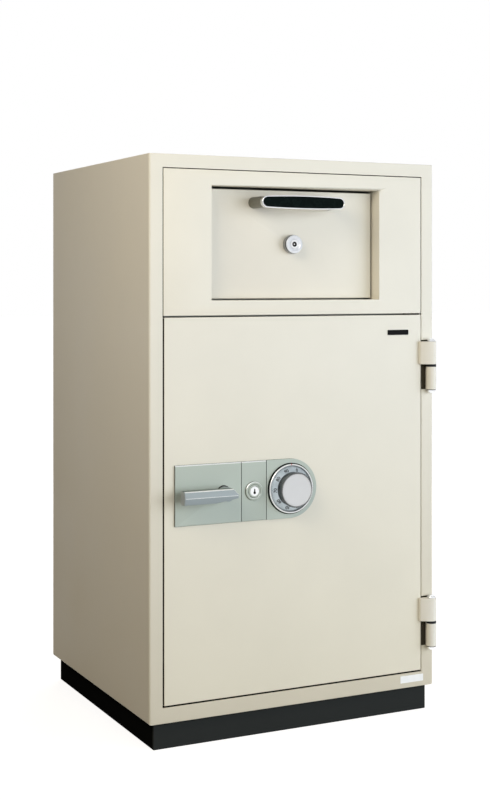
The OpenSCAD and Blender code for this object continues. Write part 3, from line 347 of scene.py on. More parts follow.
def painted_edge_highlight():
    """Near-white metal on the upper edges and the lever's ridge: a painted highlight where the light catches
    them.
    """
    return metal("painted_edge_highlight", linear("#eff1f0"), 0.28, 0.12, smudge=7.0, dark=0.9)[0]


def lever_enamel():
    """Blue grey enamel on die-cast zinc: smooth flats that catch the light along the ridge."""
    return baked_enamel("lever_enamel", scene_colours().lever, 0.34, peel=2.5)


def grip_top_shade():
    """The lever's enamel, darker on the top face of its grip: painted shade along its top."""
    return baked_enamel("grip_top_shade", linear("#5d6965"), 0.45, peel=2.5, level=0.2)


def index_enamel():
    """Red enamel in the index mark."""
    return baked_enamel("index_enamel", scene_colours().index, 0.4, peel=1.5)


def mark_enamel():
    """Black enamel that fills the numbers and graduations of the dial."""
    return baked_enamel("mark_enamel", linear("#0c0f10"), 0.45, peel=1.5)


def label_film():
    """White label film: almost pure white, satin, with the faint waviness of a stuck film."""
    made, tree, skin, at = surface("label_film", ior=1.46)
    waves = add(tree, "ShaderNodeTexNoise", {"Scale": per_mm(9), "Detail": 1}, at)
    tint(tree, skin, linear("#f4f4f1"), waves, "Fac", 0.97, 1.0)
    gloss(tree, skin, waves, "Fac", 0.3, 0.42)
    relief(tree, skin, waves, "Fac", 0.05, 0.4)
    return made


def moulded_black(name, colour, rough, level=0.2):
    """Moulded black plastic: a deep colour under a soft gloss, with faint flow marks. Its grain is about
    0.2 mm wide, and is drawn coarser so that it shows in the render."""
    made, tree, skin, at = surface(name, ior=1.49, level=level)
    flow = add(tree, "ShaderNodeTexNoise", {"Scale": per_mm(14), "Detail": 2, "Distortion": 1.2}, at)
    grain = add(tree, "ShaderNodeTexNoise", {"Scale": per_mm(1.2), "Detail": 1}, at)
    tint(tree, skin, colour, flow, "Fac", 0.8, 1.25)
    gloss(tree, skin, flow, "Fac", rough - 0.04, rough + 0.08)
    relief(tree, skin, grain, "Fac", 0.01, 0.25)
    return made


def insert_plastic():
    """Glossy green-black ABS, as moulded for the insert of the pull."""
    return moulded_black("insert_plastic", scene_colours().insert, 0.24, level=0.04)


def badge_plastic():
    """Glossy black acrylic of the bare badge."""
    return moulded_black("badge_plastic", linear("#101112"), 0.18, level=0.08)


def black_nylon_and_shade():
    """Black moulded nylon of the washers at the hinges: duller than ABS. The same black makes the rings of
    painted shade round the lever's boss and under the hinges.
    """
    return moulded_black("black_nylon_and_shade", linear("#17181a"), 0.5)


def seal_rubber():
    """Extruded dark grey seal: matt, with slanting lines, drawn coarser so that they show."""
    made, tree, skin, at = surface("seal_rubber", ior=1.52)
    bloom = add(tree, "ShaderNodeTexNoise", {"Scale": per_mm(20), "Detail": 4}, at)
    lines = add(tree, "ShaderNodeTexWave", {"Scale": per_mm(12), "Distortion": 0.3}, at,
                bands_direction="DIAGONAL")
    tint(tree, skin, linear("#2c2d2f"), bloom, "Fac", 0.8, 1.25)
    gloss(tree, skin, bloom, "Fac", 0.72, 0.88)
    relief(tree, skin, lines, "Fac", 0.15, 0.4)
    return made


def metal(name, colour, rough, spread, smudge=18.0, dark=0.93, light=1.0):
    """A bare or plated metal: its own colour, with colour and roughness in soft patches as if handled."""
    made, tree, skin, at = surface(name, metallic=1)
    patches = add(tree, "ShaderNodeTexNoise", {"Scale": per_mm(smudge), "Detail": 4}, at)
    tint(tree, skin, colour, patches, "Fac", dark, light)
    gloss(tree, skin, patches, "Fac", rough, rough + spread)
    return made, tree, skin, at


def bright_chrome():
    """Bright chrome plate of the pull's rim and the skirts of the caps: a mirror with a faint haze."""
    return metal("bright_chrome", linear("#dfe1e4"), 0.07, 0.06)[0]


def cap_chrome():
    """Polished chrome of the hinge caps: almost white, as a small dome gathers the light of the room."""
    return metal("cap_chrome", linear("#f7f9fb"), 0.2, 0.08, smudge=9.0, dark=0.97)[0]


def collar_side_shade():
    """Dark chrome on the side of the hopper lock's collar, near its face: painted shade on that side."""
    return metal("collar_side_shade", linear("#5a5e66"), 0.22, 0.15)[0]


def collar_side_half_shade():
    """Grey chrome on the rest of that side, where it meets the hopper's plate: lighter painted shade."""
    return metal("collar_side_half_shade", linear("#aaacae"), 0.35, 0.15)[0]


def ring_foot_shade():
    """Almost black chrome on the foot of the dial's ring: painted shade round the ring."""
    return metal("ring_foot_shade", linear("#1f2322"), 0.3, 0.15)[0]


def satin_plug():
    """Satin chrome of the ring and lock faces: nearly white, as the haze gathers light from all round."""
    return metal("satin_plug", linear("#eef0f2"), 0.34, 0.1, smudge=9.0, dark=0.96)[0]


def collar_satin():
    """Satin chrome of the hopper lock's collar: bluer, and clouded by the hands that reach for the pull."""
    return metal("collar_satin", linear("#e4e8ee"), 0.34, 0.1, smudge=5.0, dark=0.9)[0]


def turned_satin(name, colour, rough, axis_node, smudge=18.0, dark=0.96):
    """Satin chrome turned on a lathe: rings round the axis, which spread the light.
    The real rings are about 0.1 mm apart. They are drawn coarser so that they show in the render."""
    made, tree, skin, at = metal(name, colour, rough, 0.08, smudge, dark)
    axis = middle(axis_node)
    centred = add(tree, "ShaderNodeMapping", {"Location": (-axis.x, 0, -axis.z)}, at)
    rings = add(tree, "ShaderNodeTexWave", {"Scale": per_mm(9), "Distortion": 0.4, "Detail": 2},
                {"Vector": (centred, "Vector")}, wave_type="RINGS", rings_direction="Y")
    relief(tree, skin, rings, "Fac", 0.02, 0.35)
    return made


def knob_satin():
    """Satin chrome of the knob's face: an even, soft grey."""
    return turned_satin("knob_satin", linear("#c6c8ca"), 0.3, "dial_knob")


def skirt_satin():
    """Satin chrome of the dial's skirt, darker and bluer than the knob, and mottled by handling."""
    return turned_satin("skirt_satin", linear("#b7c2c8"), 0.27, "dial", 13.0, 0.75)


def flute_shade():
    """Dark grey in the flutes of the knob, mottled and dull: painted shade in the flutes."""
    return metal("flute_shade", linear("#3f4548"), 0.35, 0.25, smudge=6.0, dark=0.3, light=1.4)[0]


def ridge_dark_reflection():
    """Satin plating on the ridges of the knob's grip, darkened in patches: a painted dark reflection."""
    return metal("ridge_dark_reflection", linear("#8b8f90"), 0.3, 0.2, smudge=9.0, dark=0.45, light=1.2)[0]


def blasted_zinc():
    """Bead-blasted zinc of the pull's legs: grey, with a sparkle. The real grit is about 0.1 mm, and is
    drawn coarser so that it shows."""
    made, tree, skin, at = metal("blasted_zinc", linear("#8d8b80"), 0.42, 0.15, smudge=4.0, dark=0.7)
    grit = add(tree, "ShaderNodeTexNoise", {"Scale": per_mm(1.6), "Detail": 3}, at)
    relief(tree, skin, grit, "Fac", 0.12, 0.5)
    return made


def ground_steel():
    """Turned and ground steel of the bolts and pins: bright, with tool marks, drawn coarser so that they
    show."""
    made, tree, skin, at = metal("ground_steel", linear("#c2c4c6"), 0.2, 0.12)
    lines = add(tree, "ShaderNodeTexNoise", {"Scale": per_mm(2.0), "Detail": 2}, at)
    relief(tree, skin, lines, "Fac", 0.03, 0.3)
    return made


def zinc_plate():
    """Zinc plated steel: grey with faint spangle, a little yellow from its passivation."""
    made, tree, skin, at = metal("zinc_plate", linear("#b7b8ae"), 0.3, 0.15)
    spangle = add(tree, "ShaderNodeTexVoronoi", {"Scale": per_mm(7)}, at)
    tint(tree, skin, linear("#b7b8ae"), spangle, "Distance", 0.9, 1.05)
    return made


def cast_zinc():
    """Die-cast zinc as it leaves the die: dull grey with flow marks."""
    made, tree, skin, at = metal("cast_zinc", linear("#a3a5a8"), 0.4, 0.15)
    flow = add(tree, "ShaderNodeTexNoise", {"Scale": per_mm(3.5), "Detail": 3, "Distortion": 0.8}, at)
    relief(tree, skin, flow, "Fac", 0.08, 0.4)
    return made


def turned_brass():
    """Machined brass of the lock's wheels and tongue: warm, with tool marks, drawn coarser so that they
    show."""
    made, tree, skin, at = metal("turned_brass", linear("#c9a75d"), 0.22, 0.12)
    marks = add(tree, "ShaderNodeTexNoise", {"Scale": per_mm(1.8), "Detail": 2}, at)
    relief(tree, skin, marks, "Fac", 0.03, 0.35)
    return made


def cast_insulation():
    """Cast mineral insulation: chalky and matt, with pores and a sandy colour."""
    made, tree, skin, at = surface("cast_insulation")
    sand = add(tree, "ShaderNodeTexNoise", {"Scale": per_mm(6), "Detail": 6}, at)
    pores = add(tree, "ShaderNodeTexVoronoi", {"Scale": per_mm(11)}, at)
    tint(tree, skin, linear("#cbc4b6"), sand, "Fac", 0.85, 1.1)
    gloss(tree, skin, sand, "Fac", 0.86, 0.96)
    relief(tree, skin, pores, "Distance", 1.2, 0.5)
    return made


FINISH_OF_SLOT = {
    "body_paint": ivory_enamel,
    "plinth_paint": plinth_enamel,
    "fire_insulation": cast_insulation,
    "liner_paint": liner_enamel,
    "hinge_paint": hinge_enamel,
    "lock_plate_paint": sage_enamel,
    "lever_paint": lever_enamel,
    "chrome": bright_chrome,
    "satin_chrome": knob_satin,
    "insert_black": insert_plastic,
    "washer_black": black_nylon_and_shade,
    "door_seal": seal_rubber,
    "bright_steel": ground_steel,
    "zinc_plate": zinc_plate,
    "die_cast_zinc": cast_zinc,
    "brass": turned_brass,
}

# CAD nodes that show a finish other than their slot's
FINISH_OF_NODE = {"back_plate": body_enamel, "hinge_pins": cap_chrome}


def scene_colours():
    """The colours that the panel shows."""
    return bpy.context.scene.safe_colours


def finish(maker):
    """The material of one maker function, made once."""
    name = maker.__name__
    return bpy.data.materials.get(name) or maker()


# Mesh tools

def copy_of(node):
    """A merged copy of a CAD node's mesh, its flat stretches joined to whole faces."""
    bm = bmesh.new()
    bm.from_mesh(frame["nodes"][node].data)
    bmesh.ops.remove_doubles(bm, verts=bm.verts, dist=TINY / 10)
    bmesh.ops.dissolve_limit(bm, angle_limit=FLAT, verts=bm.verts, edges=bm.edges)
    return bm


def round_off(bm, edges, radius, segments, clamped=False):
    """Rounds some edges. A clamped radius shrinks where the faces beside an edge are narrow."""
    bmesh.ops.bevel(bm, geom=edges, offset=radius, affect="EDGES", segments=segments, profile=0.5,
                    material=-1, clamp_overlap=clamped)


def soften(bm, radius, pick, segments=3):
    """Rounds the sharp outer edges whose two ends are accepted by pick."""
    edges = [e for e in bm.edges
             if e.is_manifold and e.is_convex and e.calc_face_angle() > SHARP
             and pick(e.verts[0].co, e.verts[1].co)]
    round_off(bm, edges, radius, segments, clamped=True)


def cut(bm, place, normal, **keep):
    """Cuts a mesh along a plane, and gives what the cut made."""
    return bmesh.ops.bisect_plane(bm, geom=bm.verts[:] + bm.edges[:] + bm.faces[:], dist=TINY / 10,
                                  plane_co=place, plane_no=normal, **keep)


def shifted(bm, place):
    """Moves a whole mesh by a vector."""
    bmesh.ops.translate(bm, verts=bm.verts, vec=place)
    return bm


def tipped(bm, degrees):
    """Turns a whole mesh about the X axis."""
    turn = Matrix.Rotation(math.radians(degrees), 3, "X")
    bmesh.ops.rotate(bm, verts=bm.verts, cent=(0, 0, 0), matrix=turn)
    return bm


def every(*ends):
    """Accepts every edge."""
    return True


def along(axis, level):
    """Accepts an edge whose two ends lie at a level on an axis."""
    return lambda a, b: abs(a[axis] - level) < TINY and abs(b[axis] - level) < TINY


def turned(profile, axis, centre, closed=True, steps=SPIN_STEPS):
    """Spins a profile of (radius, place along the axis) about an axis, Y or Z, through centre."""
    bm = bmesh.new()
    verts = [bm.verts.new((r, 0, h)) for r, h in profile]
    pairs = list(zip(verts, verts[1:]))
    if closed:
        pairs.append((verts[-1], verts[0]))
    edges = [bm.edges.new(pair) for pair in pairs]
    bmesh.ops.spin(bm, geom=verts + edges, cent=(0, 0, 0), axis=(0, 0, 1), angle=math.tau, steps=steps,
                   use_merge=True, use_duplicate=False)
    bmesh.ops.remove_doubles(bm, verts=bm.verts, dist=TINY / 10)
    bmesh.ops.recalc_face_normals(bm, faces=bm.faces)
    if axis == "Y":
        tipped(bm, -90)
    return shifted(bm, centre)


def block(low, high):
    """A box between two corners."""
    bm = bmesh.new()
    bmesh.ops.create_cube(bm, size=1)
    bmesh.ops.scale(bm, verts=bm.verts, vec=Vector(high) - Vector(low))
    return shifted(bm, (Vector(low) + Vector(high)) / 2)


def arc(centre, radius, start, end, steps):
    """Points of an arc in x and z, from one angle to another, in degrees."""
    angles = [math.radians(start + (end - start) * k / steps) for k in range(steps + 1)]
    return [(centre[0] + radius * math.cos(a), centre[1] + radius * math.sin(a)) for a in angles]


def carried(outline, y0, y1):
    """A solid made by carrying an outline in x and z along Y, from y0 to y1."""
    bm = bmesh.new()
    face = bm.faces.new([bm.verts.new((x, y0, z)) for x, z in outline])
    grown = bmesh.ops.extrude_face_region(bm, geom=[face])
    moved = [v for v in grown["geom"] if isinstance(v, bmesh.types.BMVert)]
    bmesh.ops.translate(bm, verts=moved, vec=(0, y1 - y0, 0))
    bmesh.ops.recalc_face_normals(bm, faces=bm.faces)
    return bm


def pierced(radius, hole, about, y0, y1):
    """A disc along Y with a hole. Each point of the hole is joined to the rim in its direction about a
    point inside the hole."""
    bm = bmesh.new()
    inner, outer = [], []
    for x, z in hole:
        a = math.atan2(z - about[1], x - about[0])
        along_a = about[0] * math.cos(a) + about[1] * math.sin(a)
        far = math.sqrt(radius ** 2 - about[0] ** 2 - about[1] ** 2 + along_a ** 2) - along_a
        inner.append((x, z))
        outer.append((about[0] + far * math.cos(a), about[1] + far * math.sin(a)))
    rings = [[bm.verts.new((x, y, z)) for x, z in loop] for loop, y in
             ((inner, y1), (inner, y0), (outer, y0), (outer, y1))]
    count = len(hole)
    for first, second in zip(rings, rings[1:] + rings[:1]):
        for k in range(count):
            bm.faces.new((first[k], first[(k + 1) % count], second[(k + 1) % count], second[k]))
    bmesh.ops.recalc_face_normals(bm, faces=bm.faces)
    return bm


def tail_of(node, level):
    """The part of a CAD node behind a level on Y, closed where it is cut."""
    bm = copy_of(node)
    made = cut(bm, (0, level, 0), (0, 1, 0), clear_inner=True)
    rim = [e for e in made["geom_cut"] if isinstance(e, bmesh.types.BMEdge)]
    bmesh.ops.holes_fill(bm, edges=rim)
    bmesh.ops.recalc_face_normals(bm, faces=bm.faces)
    return bm


def join(*parts):
    """One bmesh of several."""
    whole = bmesh.new()
    for part in parts:
        mesh = bpy.data.meshes.new("part")
        part.to_mesh(mesh)
        part.free()
        whole.from_mesh(mesh)
        bpy.data.meshes.remove(mesh)
    return whole


def make_piece(name, bm, like, maker=None, replaces=()):
    """Makes an object of a bmesh. It rides with the CAD node named by like, and takes the finish of that
    node's slot unless it gets a maker of its own."""
    mesh = bpy.data.meshes.new(name)
    bm.to_mesh(mesh)
    bm.free()
    mesh.shade_smooth()
    mesh.set_sharp_from_angle(angle=SMOOTH)
    mesh.materials.append(finish(maker or FINISH_OF_SLOT[slot_of[like]]))
    piece = bpy.data.objects.new(name, mesh)
    bpy.context.scene.collection.objects.link(piece)
    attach(piece, frame["nodes"][like]["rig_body"])
    if replaces:
        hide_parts(*replaces)
    return piece


def rounded_copy(name, node, radius, pick, segments=3, maker=None):
    """A copy of a CAD node with some of its edges rounded, which stands for the node."""
    bm = copy_of(node)
    soften(bm, radius, pick, segments)
    return make_piece(name, bm, node, maker, replaces=(node,))


def recoat(piece, maker, pick):
    """Gives one more finish to the faces of a piece that pick accepts."""
    piece.data.materials.append(finish(maker))
    for polygon in piece.data.polygons:
        if pick(polygon):
            polygon.material_index = len(piece.data.materials) - 1


def sides_only(polygon):
    """Accepts a face that looks sideways, up or down."""
    return abs(polygon.normal.y) < 0.3


def bore_of(centre, radius):
    """Accepts a side face nearer than a radius to an axis along Y through centre."""
    def inside(polygon):
        off = polygon.center - centre
        return sides_only(polygon) and math.hypot(off.x, off.z) < radius

    return inside


def upper_chamfer(polygon):
    """Accepts a face of a front edge that looks partly up."""
    return -0.97 < polygon.normal.y < -0.3 and polygon.normal.z > 0.2


def prime_rim(piece, node, right_too=True):
    """Paints the outer side faces of a sheet, which stand in its gap, black as painted shade, with or without
    the right one.
    """
    half = Vector((reach(node, 0), 0, reach(node, 2)))

    def in_gap(polygon):
        off = polygon.center - middle(node)
        aside = abs(off.x) if right_too else -off.x
        return abs(polygon.normal.y) < 0.1 and (aside > half.x - TINY or abs(off.z) > half.z - TINY)

    recoat(piece, painted_gap_shade, in_gap)


# Operators

class SAFE_OT_finishes(bpy.types.Operator):
    """Gives every carried CAD node its real finish"""
    bl_idname = "safe.finishes"
    bl_label = "Finishes of the carried nodes"

    def execute(self, context):
        for name, node in frame["nodes"].items():
            for slot in node.material_slots:
                slot.material = finish(FINISH_OF_NODE.get(name) or FINISH_OF_SLOT[slot_of[name]])
        return {"FINISHED"}


class SAFE_OT_body_sheets(bpy.types.Operator):
    """Builds the outer sheets of the body, the frame behind its gaps and the plinth"""
    bl_idname = "safe.body_sheets"
    bl_label = "Body sheets and plinth"

    def execute(self, context):
        edge = context.scene.safe_sizes.sheet_edge
        low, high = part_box("outer_shell")
        below_roof = high.z - 10 * MM
        long_edge = 100 * MM
        fold = 4 * MM

        def opening(a, b):
            return along(1, low.y)(a, b) and max(a.z, b.z) < below_roof

        wrap = copy_of("outer_shell")
        corners = [e for e in wrap.edges if abs(e.verts[0].co.y - e.verts[1].co.y) > long_edge and all(
            high.x - abs(v.co.x) < TINY and v.co.z < low.z + TINY for v in e.verts)]
        round_off(wrap, corners, fold, 4)
        soften(wrap, 0.8 * edge, opening)
        make_piece("body_wrap", wrap, "outer_shell", body_enamel, replaces=("outer_shell",))
        self.rebate(low.y)
        rounded_copy("roof_sheet", "top_plate", edge, along(2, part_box("top_plate")[1].z), maker=body_enamel)
        rounded_copy("plinth_channel", "plinth", 1.5 * edge, every)
        return {"FINISHED"}

    def rebate(self, front):
        """The frame behind the gaps, painted black as shade, but ivory on its return beside the door's
        hinges.
        """
        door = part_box("door_skin")[1]
        inward = front + 9 * MM
        over = door.z + 4 * MM
        bm = copy_of("front_frame")
        cut(bm, (0, inward, 0), (0, 1, 0))
        cut(bm, (0, 0, over), (0, 0, 1))
        frame_piece = make_piece("door_rebate", bm, "front_frame", painted_gap_shade, replaces=("front_frame",))

        def oversprayed(polygon):
            at = polygon.center
            return polygon.normal.x < -0.9 and at.x > door.x and at.z < over and at.y < inward

        recoat(frame_piece, body_enamel, oversprayed)


class SAFE_OT_top_panel(bpy.types.Operator):
    """Builds the fixed panel over the door, round its window"""
    bl_idname = "safe.top_panel"
    bl_label = "Top panel"

    def execute(self, context):
        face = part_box("top_panel")[0].y
        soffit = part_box("hopper_housing")[1].z
        drop = 2.4 * MM  # The rolled edge hangs a little lower than the CAD's
        roll = 5 * MM
        bm = copy_of("top_panel")
        for v in bm.verts:
            if abs(v.co.z - soffit) < TINY:
                v.co.z -= drop

        def window_top(a, b):
            return along(1, face)(a, b) and along(2, soffit - drop)(a, b) and abs(a.z - b.z) < TINY

        soften(bm, roll, window_top, 6)
        soften(bm, context.scene.safe_sizes.sheet_edge, along(1, face))
        panel = make_piece("window_panel", bm, "top_panel", replaces=("top_panel",))
        # Its side faces in the gap are painted black as shade.
        prime_rim(panel, "top_panel")
        return {"FINISHED"}


class SAFE_OT_door_front(bpy.types.Operator):
    """Builds the door's front sheet with rounded edges and corners"""
    bl_idname = "safe.door_front"
    bl_label = "Door front"

    def execute(self, context):
        low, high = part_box("door_skin")
        wider = 1.6 * MM  # It closes most of the gap beside the hinges
        bm = copy_of("door_skin")
        for v in bm.verts:
            if high.x - v.co.x < TINY:
                v.co.x += wider
        borders = ((0, low.x), (0, high.x + wider), (2, low.z), (2, high.z))

        def on_border(point):
            return any(abs(point[axis] - level) < TINY for axis, level in borders)

        def outer(a, b):
            return on_border(a) and on_border(b) and min(a.y, b.y) < low.y + TINY

        soften(bm, context.scene.safe_sizes.sheet_edge, outer)
        sheet = make_piece("door_sheet", bm, "door_skin", replaces=("door_skin",))
        # Its side faces in the gap, all but the right one, are painted black as shade.
        prime_rim(sheet, "door_skin", right_too=False)
        return {"FINISHED"}


class SAFE_OT_hinges(bpy.types.Operator):
    """Builds the hinge knuckles with their leaves, washers and bright caps, with dark pads and rings of
    painted shade beside and under them
    """
    bl_idname = "safe.hinges"
    bl_label = "Hinges"

    def execute(self, context):
        edge = context.scene.safe_sizes.hinge_edge
        rounded_copy("body_knuckles", "frame_hinge_knuckles", edge, every, 2)
        self.door_knuckles(edge)
        rounded_copy("washers", "hinge_washers", edge / 2, every, 2)
        low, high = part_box("hinge_caps")
        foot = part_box("frame_hinge_knuckles")[0].z
        steps = (0, self.pitch())
        height = high.z - low.z - self.pitch()
        caps = [self.cap(high.z - step) for step in steps]
        make_piece("upper_caps", join(*caps), "hinge_caps", cap_chrome, replaces=("hinge_caps",))
        rings = [self.ring(high.z - step - height) for step in steps]
        make_piece("cap_rings", join(*rings), "hinge_caps")
        feet = [self.foot_ring(foot + step) for step in steps]
        make_piece("foot_shade_rings", join(*feet), "frame_hinge_knuckles", black_nylon_and_shade)
        self.seats([high.z - step for step in steps], high.z - foot - self.pitch())
        return {"FINISHED"}

    def seats(self, tops, height):
        """Thin dark pads on the frame beside the knuckles: painted shade that stands for the notches behind
        the hinges, which are not cut.
        """
        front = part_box("outer_shell")[0].y
        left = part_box("door_skin")[1].x + 2.2 * MM
        right = middle("hinge_caps").x
        thick = 0.3 * MM
        under_cap = 3.5 * MM
        pads = [block((left, front - thick, top - height), (right, front, top - under_cap)) for top in tops]
        make_piece("hinge_notch_shades", join(*pads), "frame_hinge_knuckles", painted_notch_shade)

    def door_knuckles(self, edge):
        """The door's knuckles. Each is one shape with its leaf, which swells from a low edge on the door
        into the barrel, and clears the frame behind it."""
        low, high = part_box("door_hinge_knuckles")
        axis = middle("hinge_caps")
        radius = high.x - axis.x
        start = low.x + 4.9 * MM
        leaf_edge = 7 * MM
        door_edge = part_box("door_skin")[1].x
        back = high.y - 1.0 * MM
        swell = high.y - leaf_edge - low.y
        steepness = 1.6
        barrel_steps, leaf_steps = 28, 10
        turn = math.degrees(math.asin((back - axis.y) / radius))
        outline = [(start, high.y), (door_edge, high.y), (door_edge, back)]
        outline += arc((axis.x, axis.y), radius, 180 - turn, -90, barrel_steps)
        for k in range(1, leaf_steps + 1):
            share = k / leaf_steps
            outline.append((axis.x + (start - axis.x) * share, low.y + swell * share ** steepness))
        height = high.z - low.z - self.pitch()
        knuckles = []
        for foot in (low.z, high.z - height):
            bm = tipped(carried(outline, -foot - height, -foot), -90)
            soften(bm, edge, every, 2)
            knuckles.append(bm)
        make_piece("door_knuckles", join(*knuckles), "door_hinge_knuckles",
                   replaces=("door_hinge_knuckles",))

    def pitch(self):
        """The distance between the two hinges. Each cap has three levels of vertices, the last its top."""
        levels = sorted({round(v.co.z, 5) for v in frame["nodes"]["hinge_caps"].data.vertices})
        return levels[-1] - levels[2]

    def about_pin(self, profile):
        """A profile of (radius, height) spun about the axis of the hinge pins."""
        axis = middle("hinge_caps")
        return turned(profile, "Z", Vector((axis.x, axis.y, 0)), closed=False, steps=SMALL_STEPS)

    def cap(self, end):
        """One bright cap; end is its top."""
        radius = reach("hinge_caps", 0)
        neck = 0.66 * radius
        foot = end - 2.8 * MM
        return self.about_pin([(0, foot), (neck, foot), (neck, end - 1.2 * MM),
                               (0.58 * radius, end - 0.4 * MM), (0.42 * radius, end), (0, end)])

    def ring(self, foot):
        """The skirt of one cap."""
        radius = reach("hinge_caps", 0)
        top = foot + 4.2 * MM
        return self.about_pin([(0, foot), (radius - 0.3 * MM, foot), (radius, foot + 0.3 * MM),
                               (radius, foot + 2.2 * MM), (radius - 0.6 * MM, foot + 3.2 * MM),
                               (0.7 * radius, top), (0, top)])

    def foot_ring(self, top):
        """The thin black ring over one pin's head: painted shade under the knuckle's foot."""
        rim = reach("hinge_caps", 0) + 0.4 * MM
        foot = top - 1.3 * MM
        return self.about_pin([(0, foot), (rim, foot), (rim, top), (0, top)])


class SAFE_OT_lock_plates(bpy.types.Operator):
    """Builds the three lock plates with their rounded edges and the raised rosette"""
    bl_idname = "safe.lock_plates"
    bl_label = "Lock plates"

    def execute(self, context):
        sizes = context.scene.safe_sizes
        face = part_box("lever_plate")[0].y
        row = middle("lever_plate").z
        past_holes = 45 * MM

        def seam(a, b):
            return along(1, face)(a, b) and abs(a.x - b.x) < TINY

        def outer(a, b):
            far = abs((a.z + b.z) / 2 - row) > past_holes or min(a.x, b.x) > 0
            return along(1, face)(a, b) and far and not seam(a, b)

        for name, node in (("left_lock_plate", "lever_plate"), ("middle_lock_plate", "key_plate"),
                           ("right_lock_plate", "dial_plate")):
            bm = copy_of(node)
            soften(bm, sizes.plate_edge, outer)
            soften(bm, 0.5 * sizes.plate_edge, seam)
            if node == "key_plate":
                soften(bm, sizes.rosette_edge, along(1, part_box(node)[0].y), 5)
            plate = make_piece(name, bm, node, replaces=(node,))
            # The plates' side faces get painted shade.
            recoat(plate, painted_side_shade, sides_only)
            # Their upward edges get a painted highlight.
            recoat(plate, painted_edge_highlight, upper_chamfer)
        return {"FINISHED"}


class SAFE_OT_lever(bpy.types.Operator):
    """Builds the lever with its rounded facets, and a dark ring of painted shade round its boss"""
    bl_idname = "safe.lever"
    bl_label = "Lever"

    def execute(self, context):
        edge = context.scene.safe_sizes.lever_edge
        low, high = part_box("lever_handle")
        ridge = low.y + 1.6 * MM
        ridge_edge = 0.35 * MM
        deeper = 2.1  # The real facets are deeper than the CAD's
        bm = copy_of("lever_handle")
        for v in bm.verts:
            if v.co.y < ridge + TINY:
                v.co.y = low.y + (v.co.y - low.y) * deeper
        shoulder = (high.x - 9.5 * MM, high.z)
        shoulder_edge = 6 * MM
        grip_back = low.y + 19 * MM
        near = 0.5 * MM
        corner = [e for e in bm.edges if all(
            math.dist((v.co.x, v.co.z), shoulder) < near and v.co.y < grip_back for v in e.verts)]
        round_off(bm, corner, shoulder_edge, 6, clamped=True)
        rim = low.y + 5 * MM

        def front_rim(a, b):
            return low.y + TINY < max(a.y, b.y) < rim

        soften(bm, edge, front_rim)
        ridges = [e for e in bm.edges if all(v.co.y < low.y + TINY for v in e.verts)]
        round_off(bm, ridges, ridge_edge, 2, clamped=True)
        grip = make_piece("lever_grip", bm, "lever_handle", replaces=("lever_handle",))

        # The lever's upper chamfers and ridge get a painted highlight.
        def rubbed(polygon):
            upper = -0.9 < polygon.normal.y < -0.1 and polygon.normal.z > 0.45
            return upper or polygon.normal.y < -0.985 and polygon.center.y < low.y + near

        smallest = (10 * MM) ** 2
        recoat(grip, painted_edge_highlight, rubbed)
        # The top face of the grip gets painted shade.
        recoat(grip, grip_top_shade, lambda polygon: polygon.normal.z > 0.98 and polygon.area > smallest)
        self.boss_shade_ring()
        return {"FINISHED"}

    def boss_shade_ring(self):
        """A dark ring round the lever's boss: painted shade of the gap round it."""
        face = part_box("lever_plate")[0].y
        front = face - 1.2 * MM
        boss = 14.3 * MM
        boss_reach = 13.5 * MM
        centre = Vector((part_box("lever_handle")[1].x - boss_reach, 0, middle("lever_plate").z))
        profile = [(0, face), (boss, face), (boss, front), (0, front)]
        disc = turned(profile, "Y", centre, closed=False, steps=SMALL_STEPS)
        make_piece("boss_shade_ring", disc, "lever_plate", black_nylon_and_shade)


class SAFE_OT_key_lock(bpy.types.Operator):
    """Builds the key cylinder's bright face with its keyhole, and the rim round it"""
    bl_idname = "safe.key_lock"
    bl_label = "Key lock"

    def execute(self, context):
        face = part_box("key_cylinder")[0].y
        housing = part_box("key_lock_housing")[0].y
        centre = front_axis("key_cylinder")
        radius = 9 * MM
        clearance = 0.1 * MM
        proud = 1.0 * MM
        drop = (0, -2.8 * MM)
        half_slot, slot_top = 1.0 * MM, 4.4 * MM
        hole = arc(drop, 2.5 * MM, 125, 415, 18) + [(half_slot, slot_top), (-half_slot, slot_top)]
        joint = face + 23 * MM
        plug = shifted(pierced(radius - clearance, hole, drop, face - proud, joint), centre)
        whole = join(plug, tail_of("key_cylinder", joint))
        plug_face = make_piece("key_plug", whole, "key_cylinder", satin_plug, replaces=("key_cylinder",))
        within_rim = 0.7 * radius
        # The walls of the keyhole are painted black as shade.
        recoat(plug_face, painted_gap_shade, bore_of(centre, within_rim))
        overlap = 1.02
        near, far = face + 0.6 * MM, face + 1.2 * MM
        # A black plug just behind the face fills the keyhole: painted shade.
        keyhole_shade_plug = carried([(x * overlap, z) for x, z in hole], near, far)
        make_piece("keyhole_shade", shifted(keyhole_shade_plug, centre), "key_cylinder", painted_gap_shade)
        inner, outer = radius + clearance, radius + 2.8 * MM
        front = face - 1.4 * MM
        rim = [(inner, housing), (inner, face - 0.9 * MM), (radius + 0.7 * MM, front),
               (radius + 2.0 * MM, front), (outer, face - 0.4 * MM), (outer, housing)]
        make_piece("key_rim", turned(rim, "Y", centre), "key_lock_housing", sage_enamel)
        return {"FINISHED"}


